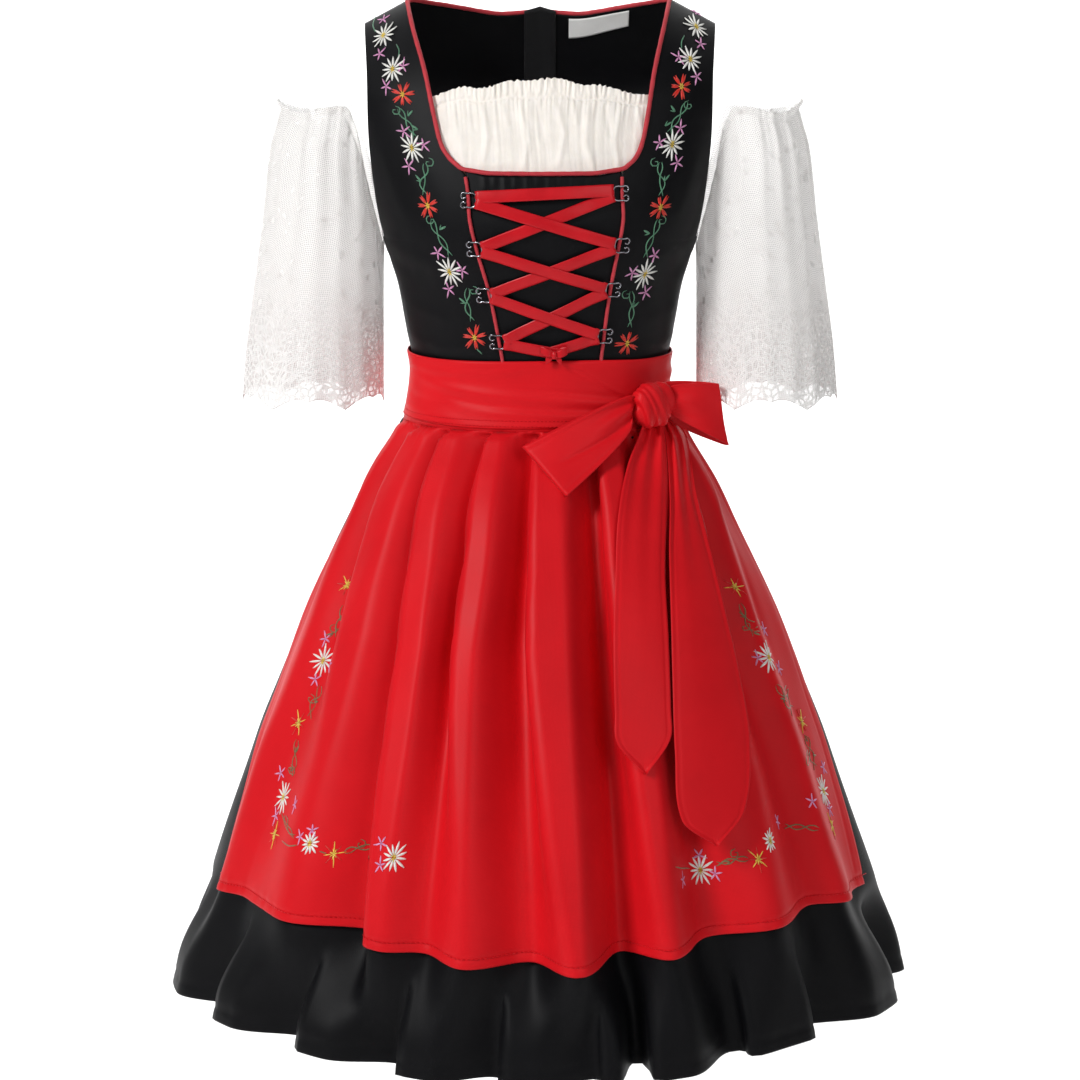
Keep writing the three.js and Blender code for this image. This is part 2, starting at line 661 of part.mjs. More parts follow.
const STRETCHES = [
  { name: "lace_top", from: HOOKS[0].left, to: HOOKS[0].right, layer: 2 },
  { name: "lace_cross_1_over", from: HOOKS[0].left, to: HOOKS[1].right, layer: 1 },
  { name: "lace_cross_1_under", from: HOOKS[1].left, to: HOOKS[0].right, layer: 0 },
  { name: "lace_cross_2_over", from: HOOKS[1].left, to: HOOKS[2].right, layer: 1 },
  { name: "lace_cross_2_under", from: HOOKS[2].left, to: HOOKS[1].right, layer: 0 },
  { name: "lace_cross_3_over", from: HOOKS[2].left, to: HOOKS[3].right, layer: 1 },
  { name: "lace_cross_3_under", from: HOOKS[3].left, to: HOOKS[2].right, layer: 0 },
  { name: "lace_end_left", from: HOOKS[3].left, to: { x: 17, z: -337.5 }, layer: 1 },
  { name: "lace_end_right", from: { x: 8, z: -337 }, to: HOOKS[3].right, layer: 0 },
];
for (const { name, from, to, layer } of STRETCHES) add(name, stretch(from, to, layer), COLOURS.red);

const laceBow = new THREE.IcosahedronGeometry(1, 1).scale(13, 3, 4.5);
const bowSeat = onFront(LACE_KNOT.x, LACE_KNOT.z, RIBBON_OUT + RIBBON_LAYER + RIBBON_WALL + 3.2);
add("lace_bow", laceBow.translate(bowSeat.x, bowSeat.y, bowSeat.z), COLOURS.red);

// ---------------------------------------------------------------- chest insert
add(
  "chest_insert",
  wall(
    (u, v) => {
      const x = lerp(CHEST.halfLeft, CHEST.halfRight, u);
      const top = lerp(CHEST.middleTop, CHEST.sideTop, smooth(Math.abs(2 * u - 1)));
      const z = lerp(CHEST.bottom, top, v);
      return onFront(x, z, -CHEST.behind);
    },
    12,
    3,
    CLOTH_WALL,
  ),
  COLOURS.ivory,
);

// ---------------------------------------------------------------- sleeves
function sleeve(out) {
  const torso = (y, z) => {
    const half = follow(FORM, "z", "half", z);
    const depth = follow(FORM, "z", y < 0 ? "front" : "back", z);
    const square = follow(FORM, "z", "square", z);
    return half * Math.pow(Math.max(0, 1 - Math.pow(Math.abs(y) / depth, square)), 1 / square);
  };
  return wall(
    (u, v) => {
      const turn = 360 * u; // 0 towards +X
      const fromOutside = out > 0 ? Math.min(turn, 360 - turn) : Math.abs(180 - turn);
      const drop = smooth((fromOutside - SLEEVE_SEAM_FROM) / (180 - SLEEVE_SEAM_FROM));
      const z = lerp(SLEEVE_HEM, lerp(SLEEVE_TOP, SLEEVE_SEAM, drop), v);
      const half = follow(SLEEVE, "z", "half", z);
      const depth = follow(SLEEVE, "z", "depth", z);
      const y = depth * Math.sin(radians(turn));
      let x = out * follow(SLEEVE, "z", "middle", z) + half * Math.cos(radians(turn));
      const clear = torso(y, z) + SEAM;
      if (Math.abs(x) < clear) x = out * clear;
      return new THREE.Vector3(x, y, z);
    },
    16,
    4,
    LACE_WALL,
    true,
  );
}
add("sleeve_left", sleeve(-1), COLOURS.lace);
add("sleeve_right", sleeve(1), COLOURS.lace);

// ---------------------------------------------------------------- skirt
const SKIRT_ROWS = [WAIST_SEAM - SEAM, -390, -411, -424, -442, ZIP_END, -492, -570, -690, -785];
SKIRT_ROWS.push(APRON_HEM, SKIRT_HEM);
const SKIRT_STEPS = SKIRT_ROWS.length - 1;
// Rows by height: the last ones follow the lift of the hem.
function skirtPoint(angle, v) {
  const level = SKIRT_ROWS[Math.round((1 - v) * SKIRT_STEPS)];
  const share = clamp((APRON_HEM - level) / (APRON_HEM - SKIRT_HEM), 0, 1);
  const h = level + share * hemLift(angle, SKIRT_HEM_LIFT);
  return ring(angle, h, skirtRise(angle, h));
}
const SIDE_SEAM = 90;
const SEAM_ANGLE = 0.06; // keeps the two sides of a seam apart
add(
  "skirt_front",
  wall((u, v) => skirtPoint((SIDE_SEAM - SEAM_ANGLE) * (2 * u - 1), v), 36, SKIRT_STEPS, CLOTH_WALL),
  COLOURS.black,
);

function skirtBack(out) {
  return wall(
    (u, v) => {
      const level = SKIRT_ROWS[Math.round((1 - v) * SKIRT_STEPS)];
      const middle = 180 - angleAt(slitHalf(level), level);
      const share = out < 0 ? 1 - u : u;
      return skirtPoint(out * lerp(SIDE_SEAM + SEAM_ANGLE, middle, share), v);
    },
    13,
    SKIRT_STEPS,
    CLOTH_WALL,
  );
}
add("skirt_back_left", skirtBack(-1), COLOURS.black);
add("skirt_back_right", skirtBack(1), COLOURS.black);

// ---------------------------------------------------------------- apron and sash
const APRON_EDGE = [
  { z: APRON_TOP, angle: 92 },
  { z: -600, angle: 88 },
  { z: -720, angle: 83.5 },
  { z: APRON_HEM, angle: 79.5 },
];
const APRON_ROWS = [APRON_TOP, -424, -442, ZIP_END, -570, -690, -785, APRON_HEM];
function apronPoint(u, v) {
  const level = APRON_ROWS[Math.round((1 - v) * (APRON_ROWS.length - 1))];
  const angle = follow(APRON_EDGE, "z", "angle", level) * (2 * u - 1);
  const share = (APRON_TOP - level) / (APRON_TOP - APRON_HEM);
  const h = level + share ** 3 * hemLift(angle, APRON_HEM_LIFT);
  const out = lerp(2.4, APRON_OUT, smooth((APRON_TOP - h) / 40));
  return ring(angle, h, out + pleatRise(angle, h));
}
add("apron_panel", wall(apronPoint, 36, APRON_ROWS.length - 1, CLOTH_WALL), COLOURS.red);

const BAND_LEVELS = [0, 0.4, 0.75, 1];
const BAND_STEPS = BAND_LEVELS.length - 1;
const bandHeight = (bottom, top, v) => lerp(bottom, top, BAND_LEVELS[Math.round(v * BAND_STEPS)]);
const WAISTBAND_OUT = 2.1;
const SASH_OUT = 4.2;
function waistbandPoint(u, v) {
  return ring(lerp(-SIDE_SEAM, SIDE_SEAM, u), bandHeight(WAISTBAND_BOTTOM, WAISTBAND_TOP, v), WAISTBAND_OUT);
}
function sashPoint(u, v) {
  return ring(360 * u, bandHeight(SASH_BOTTOM, SASH_TOP, v), SASH_OUT);
}
add("apron_waistband", wall(waistbandPoint, 18, BAND_STEPS, CLOTH_WALL), COLOURS.red);
add("sash_wrap", wall(sashPoint, 36, BAND_STEPS, CLOTH_WALL, true), COLOURS.red);

// The knot sits on the sash. Its own directions: right along the waist, and out.
const knotAngle = angleAt(KNOT.x, KNOT.z);
const knotSeat = ring(knotAngle, KNOT.z, SASH_OUT);
const knotOut = form(knotAngle, KNOT.z, 1).sub(form(knotAngle, KNOT.z)).setZ(0).normalize();
const knotRight = new THREE.Vector3(-knotOut.y, knotOut.x, 0);
const knotBall = new THREE.IcosahedronGeometry(1, 2).scale(KNOT.width / 2, KNOT.depth / 2, KNOT.height / 2);
knotBall.rotateZ(Math.atan2(knotRight.y, knotRight.x));
const knotMiddle = knotSeat.clone().addScaledVector(knotOut, KNOT.depth / 2 + 3 * SEAM);
add("bow_knot", knotBall.translate(...knotMiddle.toArray()), COLOURS.red);

// An end of the sash: a strip down the front of the apron, pointed at its end.
function tail(rows) {
  const length = rows.length - 1;
  return wall(
    (u, v) => {
      const row = rows[Math.round((1 - v) * length)];
      return onRing(lerp(row.left, row.right, u), row.z, row.out);
    },
    4,
    length,
    CLOTH_WALL,
  );
}
add("bow_tail_short", tail(TAIL_SHORT), COLOURS.red);
add("bow_tail_long", tail(TAIL_LONG), COLOURS.red);

// A loop's band runs out from the knot on its back layer, turns at the end and comes back on its front one.
const loopShare = (u) => 1 - Math.abs(2 * u - 1);
function loopDepth(u, half) {
  return Math.sign(u - 0.5) * half * (0.35 + 0.65 * Math.sin(Math.PI * loopShare(u) ** 0.7));
}
add(
  "bow_loop_left",
  wall(
    (u, v) => {
      const { start, end, startReach, endReach, half } = LOOP_LEFT;
      const share = loopShare(u);
      const at = (key) => lerp(start[key], end[key], share);
      const reach = (key) => lerp(startReach[key], endReach[key], Math.sqrt(share)) * (2 * v - 1);
      return onRing(at("x") + reach("x"), at("z") + reach("z"), at("out") + loopDepth(u, half));
    },
    10,
    2,
    CLOTH_WALL,
  ),
  COLOURS.red,
);
add(
  "bow_loop_right",
  wall(
    (u, v) => {
      const { start, end, startReach, endReach, half } = LOOP_RIGHT;
      const share = loopShare(u);
      const reach = (key) => lerp(startReach[key], endReach[key], Math.sqrt(share)) * (2 * v - 1);
      const at = (key) => lerp(start[key], end[key], share) + reach(key);
      return new THREE.Vector3(at("x"), at("y"), at("z")).addScaledVector(knotOut, loopDepth(1 - u, half));
    },
    10,
    2,
    CLOTH_WALL,
  ),
  COLOURS.red,
);

// ---------------------------------------------------------------- zip and label
const TAPE_OUT = -(BODICE_WALL + 2.5 * SEAM);
const COIL_OUT = 0.6;
const COIL_WALL = 2.1;
const ZIP_ROWS = [-481, -442, -424, -411, -390, WAIST_SEAM, -330, -290, -250, -210, -170, -135, -100];
ZIP_ROWS.push(ZIP.coilTop, ZIP.tapeTop);
const COIL_ROWS = ZIP_ROWS.slice(0, -1);
function onBackTape(x, h, out) {
  if (h >= WAIST_SEAM) return onBack(x, h, out);
  const angle = behind(angleAt(x, h));
  return ring(angle, h, out + skirtRise(angle, h));
}
add(
  "zip_tape",
  wall(
    (u, v) => {
      const h = ZIP_ROWS[Math.round(v * (ZIP_ROWS.length - 1))];
      const x = lerp(ZIP.tape / 2, -ZIP.tape / 2, u);
      return onBackTape(x, h, TAPE_OUT);
    },
    2,
    ZIP_ROWS.length - 1,
    LACE_WALL,
  ),
  COLOURS.black,
);
add(
  "zip_coil",
  wall(
    (u, v) => {
      const h = COIL_ROWS[Math.round(v * (COIL_ROWS.length - 1))];
      const x = lerp(ZIP.coil / 2, -ZIP.coil / 2, u);
      return onBackTape(x, h, COIL_OUT);
    },
    1,
    COIL_ROWS.length - 1,
    COIL_WALL,
  ),
  COLOURS.black,
);

// The slider's own directions: across, out of the back and up along it.
const sliderSeat = onBack(0, ZIP.slider, 0);
const sliderOut = onBack(0, ZIP.slider, 1).sub(sliderSeat);
const sliderAcross = new THREE.Vector3(1, 0, 0);
const sliderUp = sliderAcross.clone().cross(sliderOut);
const sliderFrame = new THREE.Matrix4().makeBasis(sliderAcross, sliderOut, sliderUp).setPosition(sliderSeat);
const HINGE = { out: 5.4, up: 3 }; // the axis of the pull tab, in the slider's directions
const slider = [
  boxAt(5.6, 3, 12, 0, 0.1, 0),
  boxAt(8.8, 2.4, 12, 0, 2.8, 0),
  boxAt(1.2, 3.4, 4.4, -2.4, 4.8, HINGE.up),
  boxAt(1.2, 3.4, 4.4, 2.4, 4.8, HINGE.up),
]
  .map(toManifold)
  .reduce((whole, piece) => whole.add(piece));
add("zip_slider", fromManifold(slider).applyMatrix4(sliderFrame), COLOURS.black, 0.6, 0.5);

const TAB_WALL = 1.2;
const TAB_NECK = { width: 2.6, length: 6, above: 0.8 }; // it reaches this far above the hinge's axis
const plateTop = HINGE.up + TAB_NECK.above + 0.6 - TAB_NECK.length;
const plateLength = ZIP.tabLength - TAB_NECK.length + 2;
const neckMiddle = HINGE.up + TAB_NECK.above - TAB_NECK.length / 2;
const tabNeck = boxAt(TAB_NECK.width, TAB_WALL, TAB_NECK.length, 0, HINGE.out, neckMiddle);
const tabPlate = boxAt(ZIP.tabWidth, TAB_WALL, plateLength, 0, HINGE.out, plateTop - plateLength / 2);
const pullTab = toManifold(tabNeck).add(toManifold(tabPlate));
add("zip_pull_tab", fromManifold(pullTab).applyMatrix4(sliderFrame), COLOURS.black, 0.6, 0.5);
group.userData.pullTabHinge = new THREE.Vector3(0, HINGE.out, HINGE.up).applyMatrix4(sliderFrame).toArray();

add(
  "neck_label",
  wall(
    (u, v) => {
      const x = lerp(LABEL.to, LABEL.from, u);
      const h = follow(BACK_NECK, "x", "h", x) - LABEL.below - LABEL.height * (1 - v);
      return onBack(x, h, -(BODICE_WALL + LABEL.clear));
    },
    4,
    2,
    LABEL.wall,
  ),
  COLOURS.label,
);

export default group;
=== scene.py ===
import math

import bmesh
import bpy
import numpy as np
from bpy.props import FloatProperty, FloatVectorProperty, PointerProperty
from mathutils import Matrix, Vector


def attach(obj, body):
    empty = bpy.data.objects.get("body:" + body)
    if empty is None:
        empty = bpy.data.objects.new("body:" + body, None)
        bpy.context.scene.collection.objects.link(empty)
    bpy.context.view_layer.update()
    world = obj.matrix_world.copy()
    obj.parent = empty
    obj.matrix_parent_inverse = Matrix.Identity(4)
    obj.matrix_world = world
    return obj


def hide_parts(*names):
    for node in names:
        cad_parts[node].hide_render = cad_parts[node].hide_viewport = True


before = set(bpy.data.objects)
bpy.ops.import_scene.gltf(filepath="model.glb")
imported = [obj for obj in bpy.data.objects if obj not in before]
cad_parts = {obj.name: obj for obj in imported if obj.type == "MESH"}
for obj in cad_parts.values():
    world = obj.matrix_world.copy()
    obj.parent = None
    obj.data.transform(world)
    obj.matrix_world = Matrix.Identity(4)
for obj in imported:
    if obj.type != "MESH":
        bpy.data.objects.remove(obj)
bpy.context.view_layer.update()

bl_info = {
    "name": "Laced Dirndl",
    "version": (1, 0, 0),
    "blender": (4, 5, 0),
    "location": "3D View > Sidebar > Dirndl",
    "description": "Cloth, trim, lacing and flower embroidery of a dirndl on its frame",
    "category": "Object",
}

# The garment stands hollow with its front towards -Y. Left and right are the viewer's. Tables and the
# functions that work out shapes are in millimetres; a finished mesh is in metres.
MM = 0.001

# ------------------------------------------------------------------ sizes of the cut
SEAM = 0.3
STRAP_TOP = -11.0
SHOULDER_START = -100.0  # above this height the form rounds over the shoulder
SHOULDER_SLOPE = 0.53
NECK_SIDE = 127.7
UNDERARM = -241.0
WAIST_SEAM = -366.0
SKIRT_HEM = -985.0
SKIRT_HEM_LIFT = 9.0
APRON_TOP = -413.9
APRON_HEM = -877.0
APRON_HEM_LIFT = 15.0
SASH_TOP = -347.0
SASH_BOTTOM = -411.0
WAISTBAND_TOP = -352.0
WAISTBAND_BOTTOM = -413.4
PIPING_RADIUS = 2.1
PRINCESS_PIPING_RADIUS = 1.7
ZIP_END = -484.0
ZIP_SLIT = 3.2
HOOK_SEAT = 2 * PRINCESS_PIPING_RADIUS + 2 * SEAM


def table(names, rows):
    """The columns of a table, by name."""
    return dict(zip(names.split(), np.array(rows, float).T))


# The figure and the skirt as rings: half width, depth to front and back, and how square each ring is.
FORM = table(
    "z half front back square",
    [
        (-11, 186, 72, 84, 2.3), (-83, 186, 92, 106, 2.3), (-110, 184, 101, 110, 2.3),
        (-142, 178, 112, 110, 2.3), (-170, 171, 121, 108, 2.3), (-200, 163.5, 127, 105, 2.3),
        (-225, 156.5, 128, 102, 2.3), (-249, 149.5, 124, 99, 2.3), (-280, 139.5, 116, 95, 2.25),
        (-320, 132.4, 107, 90, 2.2), (-343, 128, 102, 87.5, 2.2), (-366, 124.5, 100, 86, 2.2),
        (-399, 128.5, 103, 90, 2.2), (-419, 134.5, 108.5, 96, 2.15), (-439, 145, 118, 106, 2.1),
        (-479, 171, 144, 130, 2.05), (-520, 192, 166, 152, 2), (-560, 212, 187, 174, 2),
        (-601, 231, 206, 195, 2), (-643, 248, 225, 214, 2), (-684, 264, 243, 231, 2),
        (-726, 281, 260, 247, 2), (-768, 296, 275, 262, 2), (-810, 311, 288, 275, 2),
        (-853, 326, 298, 287, 2), (-896, 340, 306, 298, 2), (-939, 353, 312, 307, 2),
        (-985, 364, 318, 315, 2),
    ],
)

# Pleats that skirt and apron share, left to right and on round the back: their angle from the front at the
# waist, half way down and at the apron's hem, how far the cloth stands out there, how sharp the step to the
# next one is, and the height at which that step has opened into a soft wave.
PLEATS = table(
    "top mid hem mid_rise hem_rise edge edge_end",
    [
        (-99, -94, -90, 1, 2, 0, -480), (-86, -80, -75, -4, -5, 0.6, -480), (-75, -67, -71, 3, 3, 0, -480),
        (-63, -57, -63, -7, -12, 1, -720), (-50, -44, -46, 5, 4, 0, -480),
        (-41, -33.5, -32, -9, -17, 1, -960), (-34, -26, -26, 6, 5, 0, -480),
        (-20.5, -20.5, -19, -7, -5, 1, -780), (-14, -14.5, -12, 5, 6, 0, -480),
        (-2, -4.5, -1.5, -8, -8, 1, -900), (5, 5, 6, 5, 10, 0, -480), (19, 15.5, 14, -10, -13, 0.9, -880),
        (27, 21.5, 20.5, 4, 6, 0, -480), (38, 29, 29, -6, -9, 0.8, -700), (50, 44, 41, 4, 5, 0.9, -640),
        (60, 51, 54, -9, -13, 0, -480), (70, 59, 61, 4, 3, 0.6, -500), (79, 67, 69, -4, -5, 0, -480),
        (90, 84, 82, 3, 6, 0.6, -500), (103, 99, 97, -5, -10, 0, -480), (118, 115, 113, 4, 8, 0.8, -540),
        (131, 130, 128, -6, -12, 0, -480), (145, 146, 147, 5, 9, 0.8, -520),
        (159, 161, 161, -5, -9, 0, -480), (171, 172, 173, 3, 6, 0.6, -500),
        (186, 187, 188, -4, -7, 0.5, -500), (200, 202, 204, 5, 10, 0, -480),
        (216, 217, 219, -6, -11, 0.8, -540), (231, 233, 236, 4, 7, 0, -480),
        (246, 249, 252, -5, -9, 0.7, -500),
    ],
)
PLEAT_MID = -600.0
PLEAT_HEM = -872.0
PLEAT_LEDGE = 5.0  # how far a pleat stands out or in right under the waistband
PLEAT_OVERLAP = 1.9  # degrees by which a knife pleat covers the cloth beside it
# How much deeper the finished cloth falls than the plain solids under it: half way down and at the hems.
PLEAT_DEPTH, PLEAT_HEM_DEPTH, HEM_DEPTH = 3.5, 2.5, 1.7

# Folds of the skirt's own hem, and how sharp the step to the next one is.
HEM_FOLDS = table(
    "at rise edge",
    [
        (-98, 4, 0), (-87, -26, 0.6), (-74, 8, 0), (-60, -18, 0.8), (-53, 7, 0), (-40, -12, 0.8),
        (-33, 6, 0), (-22, -9, 0.8), (-16, 6, 0), (-7, -8, 0.8), (0, 4, 0), (8, -5, 0.5), (11, 4, 0),
        (15.5, -20, 0.8), (21.5, 9, 0), (31, -10, 0.8), (41, 4, 0.7), (47, -15, 0), (61, 9, 0.6),
        (77, -28, 0), (87, 6, 0.5), (102, -16, 0), (117, 9, 0.5), (131, -18, 0), (149, 10, 0.5),
        (163, -14, 0), (176, 8, 0), (190, -12, 0.4), (206, 11, 0), (221, -17, 0.5), (238, 9, 0),
        (251, -13, 0.4),
    ],
)
HEM_OVERLAP = 1.3
HIDDEN_FOLDS = 0.25  # what is left of the skirt's folds under the apron
HIDDEN_INSET = 34  # how far in the skirt lies there

NECK_EDGE = table(
    "h left right",
    [
        (-11, -127.5, 124.5), (-41, -120, 117), (-83, -107, 106.5), (-126, -97, 99), (-146, -91, 94),
        (-158, -82, 87), (-165, -73, 78),
    ],
)
NECK_BOTTOM = -169.5
PRINCESS = table(
    "h left right",
    [
        (-166, -70, 76), (-189, -66.5, 76), (-212, -65, 77), (-242, -58, 72), (-282, -47, 65),
        (-342, -36, 58), (-366, -33, 56),
    ],
)
ARMHOLE = table(
    "h front back",
    [
        (-11, 168.5, 168.5), (-76, 164.5, 166), (-140, 163, 163), (-183, 159, 160), (-217, 154.5, 155.5),
        (-234, 150, 151.5),
    ],
)
BACK_NECK = table("x h", [(0, -55), (40, -50), (75, -38), (105, -24), (122, -14), (128, -11)])

# One sleeve's rings: how far its middle lies from the centre, half its width and half its depth.
SLEEVE = table(
    "z middle half depth",
    [
        (-105, 204, 48, 51), (-118, 204.5, 46.5, 49), (-150, 209, 51, 55), (-215, 210.5, 58.4, 60),
        (-275, 215.5, 62.8, 63), (-339, 220.5, 67.5, 66), (-398, 223.5, 70.5, 68),
    ],
)
SLEEVE_HEM = -389.0
SLEEVE_SEAM = -243.0
SLEEVE_SEAM_FROM = 112.0

HOOKS = [  # left x and z, right x and z, top to bottom
    ((-65.5, -194), (74, -188)), ((-60, -238), (75, -235)), ((-51.5, -282), (67, -277)),
    ((-39.5, -327), (60, -322)),
]
APRON_EDGE = table(
    "z left right",
    [
        (APRON_TOP, 92, 90), (-500, 89, 85), (-600, 87, 82.5), (-720, 84, 80), (-800, 79.5, 77.5),
        (APRON_HEM, 75, 75),
    ],
)

KNOT = {"x": 96.0, "z": -391.0, "width": 46.0, "height": 43.0, "depth": 25.0}
TAIL_SHORT = table(
    "z left right out",
    [
        (-402, 99, 114, 9.5), (-411.5, 97, 119, 10.5), (-446, 82, 122, 15.4), (-488, 73, 120, 19),
        (-540, 70, 117.5, 23), (-590, 68, 119.5, 25), (-654, 69, 121, 25), (-679, 71, 120, 25),
        (-706, 96.5, 97.5, 25),
    ],
)
TAIL_LONG = table(
    "z left right out",
    [
        (-402, 112, 124, 9.2), (-412.4, 119, 132, 11), (-428, 122, 143, 14), (-475, 124, 150, 18),
        (-521, 122, 162, 23), (-591, 122.5, 179, 25), (-634, 123, 188.5, 25), (-690, 124.5, 197, 25),
        (-750, 131, 190, 25), (-775, 162.5, 163.5, 25),
    ],
)

# ------------------------------------------------------------------ working out places


def lerp(a, b, t):
    return a + (b - a) * t


def smooth(t):
    t = np.clip(t, 0, 1)
    return t * t * (3 - 2 * t)


def bell(t, middle, width):
    """A soft bump, one high."""
    return np.exp(-(((t - middle) / width) ** 2))


def unit(v):
    return v / np.maximum(np.linalg.norm(v, axis=-1, keepdims=True), 1e-12)


def follow(rows, along, key, t):
    """A smooth curve through a table's rows: column key where column along is t."""
    x, y = rows[along], rows[key]
    t = np.asarray(t, float)
    sign = 1 if x[1] > x[0] else -1
    last = len(x) - 1
    i = np.clip(np.searchsorted(x * sign, t * sign) - 1, 0, last - 1)
    before, after = np.maximum(i - 1, 0), np.minimum(i + 2, last)
    step = x[i + 1] - x[i]
    u = np.clip((t - x[i]) / step, 0, 1)
    start = (y[i + 1] - y[before]) / (x[i + 1] - x[before]) * step
    end = (y[after] - y[i]) / (x[after] - x[i]) * step
    u2, u3 = u * u, u * u * u
    return (
        (2 * u3 - 3 * u2 + 1) * y[i]
        + (u3 - 2 * u2 + u) * start
        + (3 * u2 - 2 * u3) * y[i + 1]
        + (u3 - u2) * end
    )


def shoulder_line(x):
    return STRAP_TOP - SHOULDER_SLOPE * (np.abs(x) - NECK_SIDE)


def ring(angle, h, out=0.0):
    """A point of the form at an angle from the front (90 right, 180 back), its ring widened by out."""
    angle, h, out = np.broadcast_arrays(
        np.asarray(angle, float), np.asarray(h, float), np.asarray(out, float)
    )
    half = follow(FORM, "z", "half", h) + out
    front = follow(FORM, "z", "front", h) + out
    back = follow(FORM, "z", "back", h) + out
    power = 2 / follow(FORM, "z", "square", h)
    s, c = np.sin(np.radians(angle)), np.cos(np.radians(angle))
    x = half * np.sign(s) * np.abs(s) ** power
    y = -np.where(c >= 0, front, back) * np.sign(c) * np.abs(c) ** power
    t = np.clip((h - SHOULDER_START) / (STRAP_TOP - SHOULDER_START), 0, None)
    rounded = np.maximum(0, 1 - np.clip(t, 0, 1) ** 1.7) ** 0.62
    z = np.where(t > 0, SHOULDER_START + t * (shoulder_line(x) - SHOULDER_START), h)
    return np.stack([x, y * rounded, z], axis=-1)


def bodice(angle, h, out=0.0):
    """A point of the form moved out along its normal, for what is sewn to the bodice."""
    point = ring(angle, h)
    around = ring(np.asarray(angle) + 0.5, h) - ring(np.asarray(angle) - 0.5, h)
    up = ring(angle, np.minimum(np.asarray(h) + 1, STRAP_TOP)) - ring(angle, np.asarray(h) - 1)
    return point + unit(np.cross(around, up)) * np.broadcast_to(out, point.shape[:-1])[..., None]


def angle_at(x, h, out=0.0):
    """The angle at which a ring, widened by out, has a given x on its front."""
    half = follow(FORM, "z", "half", h) + out
    share = np.clip(np.abs(x) / half, 0, 1)
    return np.degrees(np.arcsin(share ** (follow(FORM, "z", "square", h) / 2))) * np.sign(x)


def on_front(x, h, out=0.0):
    return bodice(angle_at(x, h), h, out)


def on_back(x, h, out=0.0):
    angle = angle_at(x, h)
    return bodice(np.where(angle >= 0, 180 - angle, -180 - angle), h, out)


def on_ring(x, h, out=0.0):
    return ring(angle_at(x, h, out), h, out)


def fold_steps(at, rise, edge, angle, overlap):
    """How far folds stand out at an angle, and how far they push the cloth sideways. Each fold eases into the
    next one; a sharp edge does it in a short step that overlaps the cloth beside it."""
    n = len(at)
    turn = (angle - at[0] + 720) % 360 + at[0]
    i = (at <= turn).sum(0) - 1
    k = (i + 1) % n
    place = np.arange(at.shape[1])
    start, end = at[i, place], at[k, place] + 360 * (k == 0)
    low, high, sharp = rise[i, place], rise[k, place], edge[i, place]
    width = 1 - 0.78 * sharp
    begin = np.where(high > low, 0, 1 - width)
    t = np.clip(((turn - start) / (end - start) - begin) / width, 0, 1)
    return lerp(low, high, smooth(t)), overlap * sharp * np.sin(2 * np.pi * t)


def pleat_angles(z):
    """The angle of every pleat at some heights, whether each height is in the lower half, and its share of
    that half."""
    lower = z < PLEAT_MID
    t = np.where(
        lower,
        np.clip((z - PLEAT_MID) / (PLEAT_HEM - PLEAT_MID), 0, 1),
        (z - APRON_TOP) / (PLEAT_MID - APRON_TOP),
    )
    top, mid, hem = (PLEATS[key][:, None] for key in ("top", "mid", "hem"))
    return np.where(lower, lerp(mid, hem, t), lerp(top, mid, t)), lower, t


def along_pleats(angle, z):
    """Where cloth that lies at an angle half way down comes at another height, if it keeps its place in
    its pleat."""
    mid = PLEATS["mid"]
    at = pleat_angles(z)[0]
    turn = (angle - mid[0] + 720) % 360 + mid[0]
    i = np.searchsorted(mid, turn, "right") - 1
    k = (i + 1) % len(mid)
    round_once = 360 * (k == 0)
    place = np.arange(len(z))
    t = (turn - mid[i]) / (mid[k] + round_once - mid[i])
    return lerp(at[i, place], at[k, place] + round_once, t) - turn + angle


def pleats(angle, z):
    """How far the shared pleats stand out, and how far they push sideways in degrees."""
    z = np.minimum(z, APRON_TOP)
    at, lower, t = pleat_angles(z)
    column = {key: value[:, None] for key, value in PLEATS.items()}
    facing = np.cos(np.radians(angle)) ** 4  # the folds stay shallow at the sides

    def deeper(depth):
        return 1 + (depth - 1) * facing

    below = APRON_TOP - z
    ledge = PLEAT_LEDGE * np.exp(-below / 105) * smooth(below / 7)
    rise = np.where(
        lower,
        lerp(deeper(PLEAT_DEPTH) * column["mid_rise"], deeper(PLEAT_HEM_DEPTH) * column["hem_rise"], t),
        deeper(PLEAT_DEPTH) * column["mid_rise"] * np.sqrt(np.clip(t, 0, 1)),
    )
    rise = rise + np.sign(column["mid_rise"]) * ledge
    opened = np.clip(below / (APRON_TOP - column["edge_end"]), 0, 1)
    edge = column["edge"] * (1 - opened**1.6) * smooth(below / 9)
    return fold_steps(at, rise, edge, angle, PLEAT_OVERLAP)


def ripple(angle, z):
    """Small uneven waves, so that no stretch of the skirt is quite smooth."""
    return (
        1.1 * np.sin(angle * 0.31 + z / 61) * np.sin(z / 97 + 1.3)
        + 0.6 * np.sin(angle * 0.53 - z / 71 + 0.7) * np.sin(z / 53)
    )


def flat_call(function):
    """Lets a function of one-dimensional angle and height take arrays of any shape."""

    def wrapped(angle, z, *rest):
        angle, z, *rest = np.broadcast_arrays(
            *(np.asarray(value, float) for value in (angle, z, *rest))
        )
        flat = function(angle.ravel(), z.ravel(), *(value.ravel() for value in rest))
        return flat.reshape(angle.shape + (3,))

    return wrapped


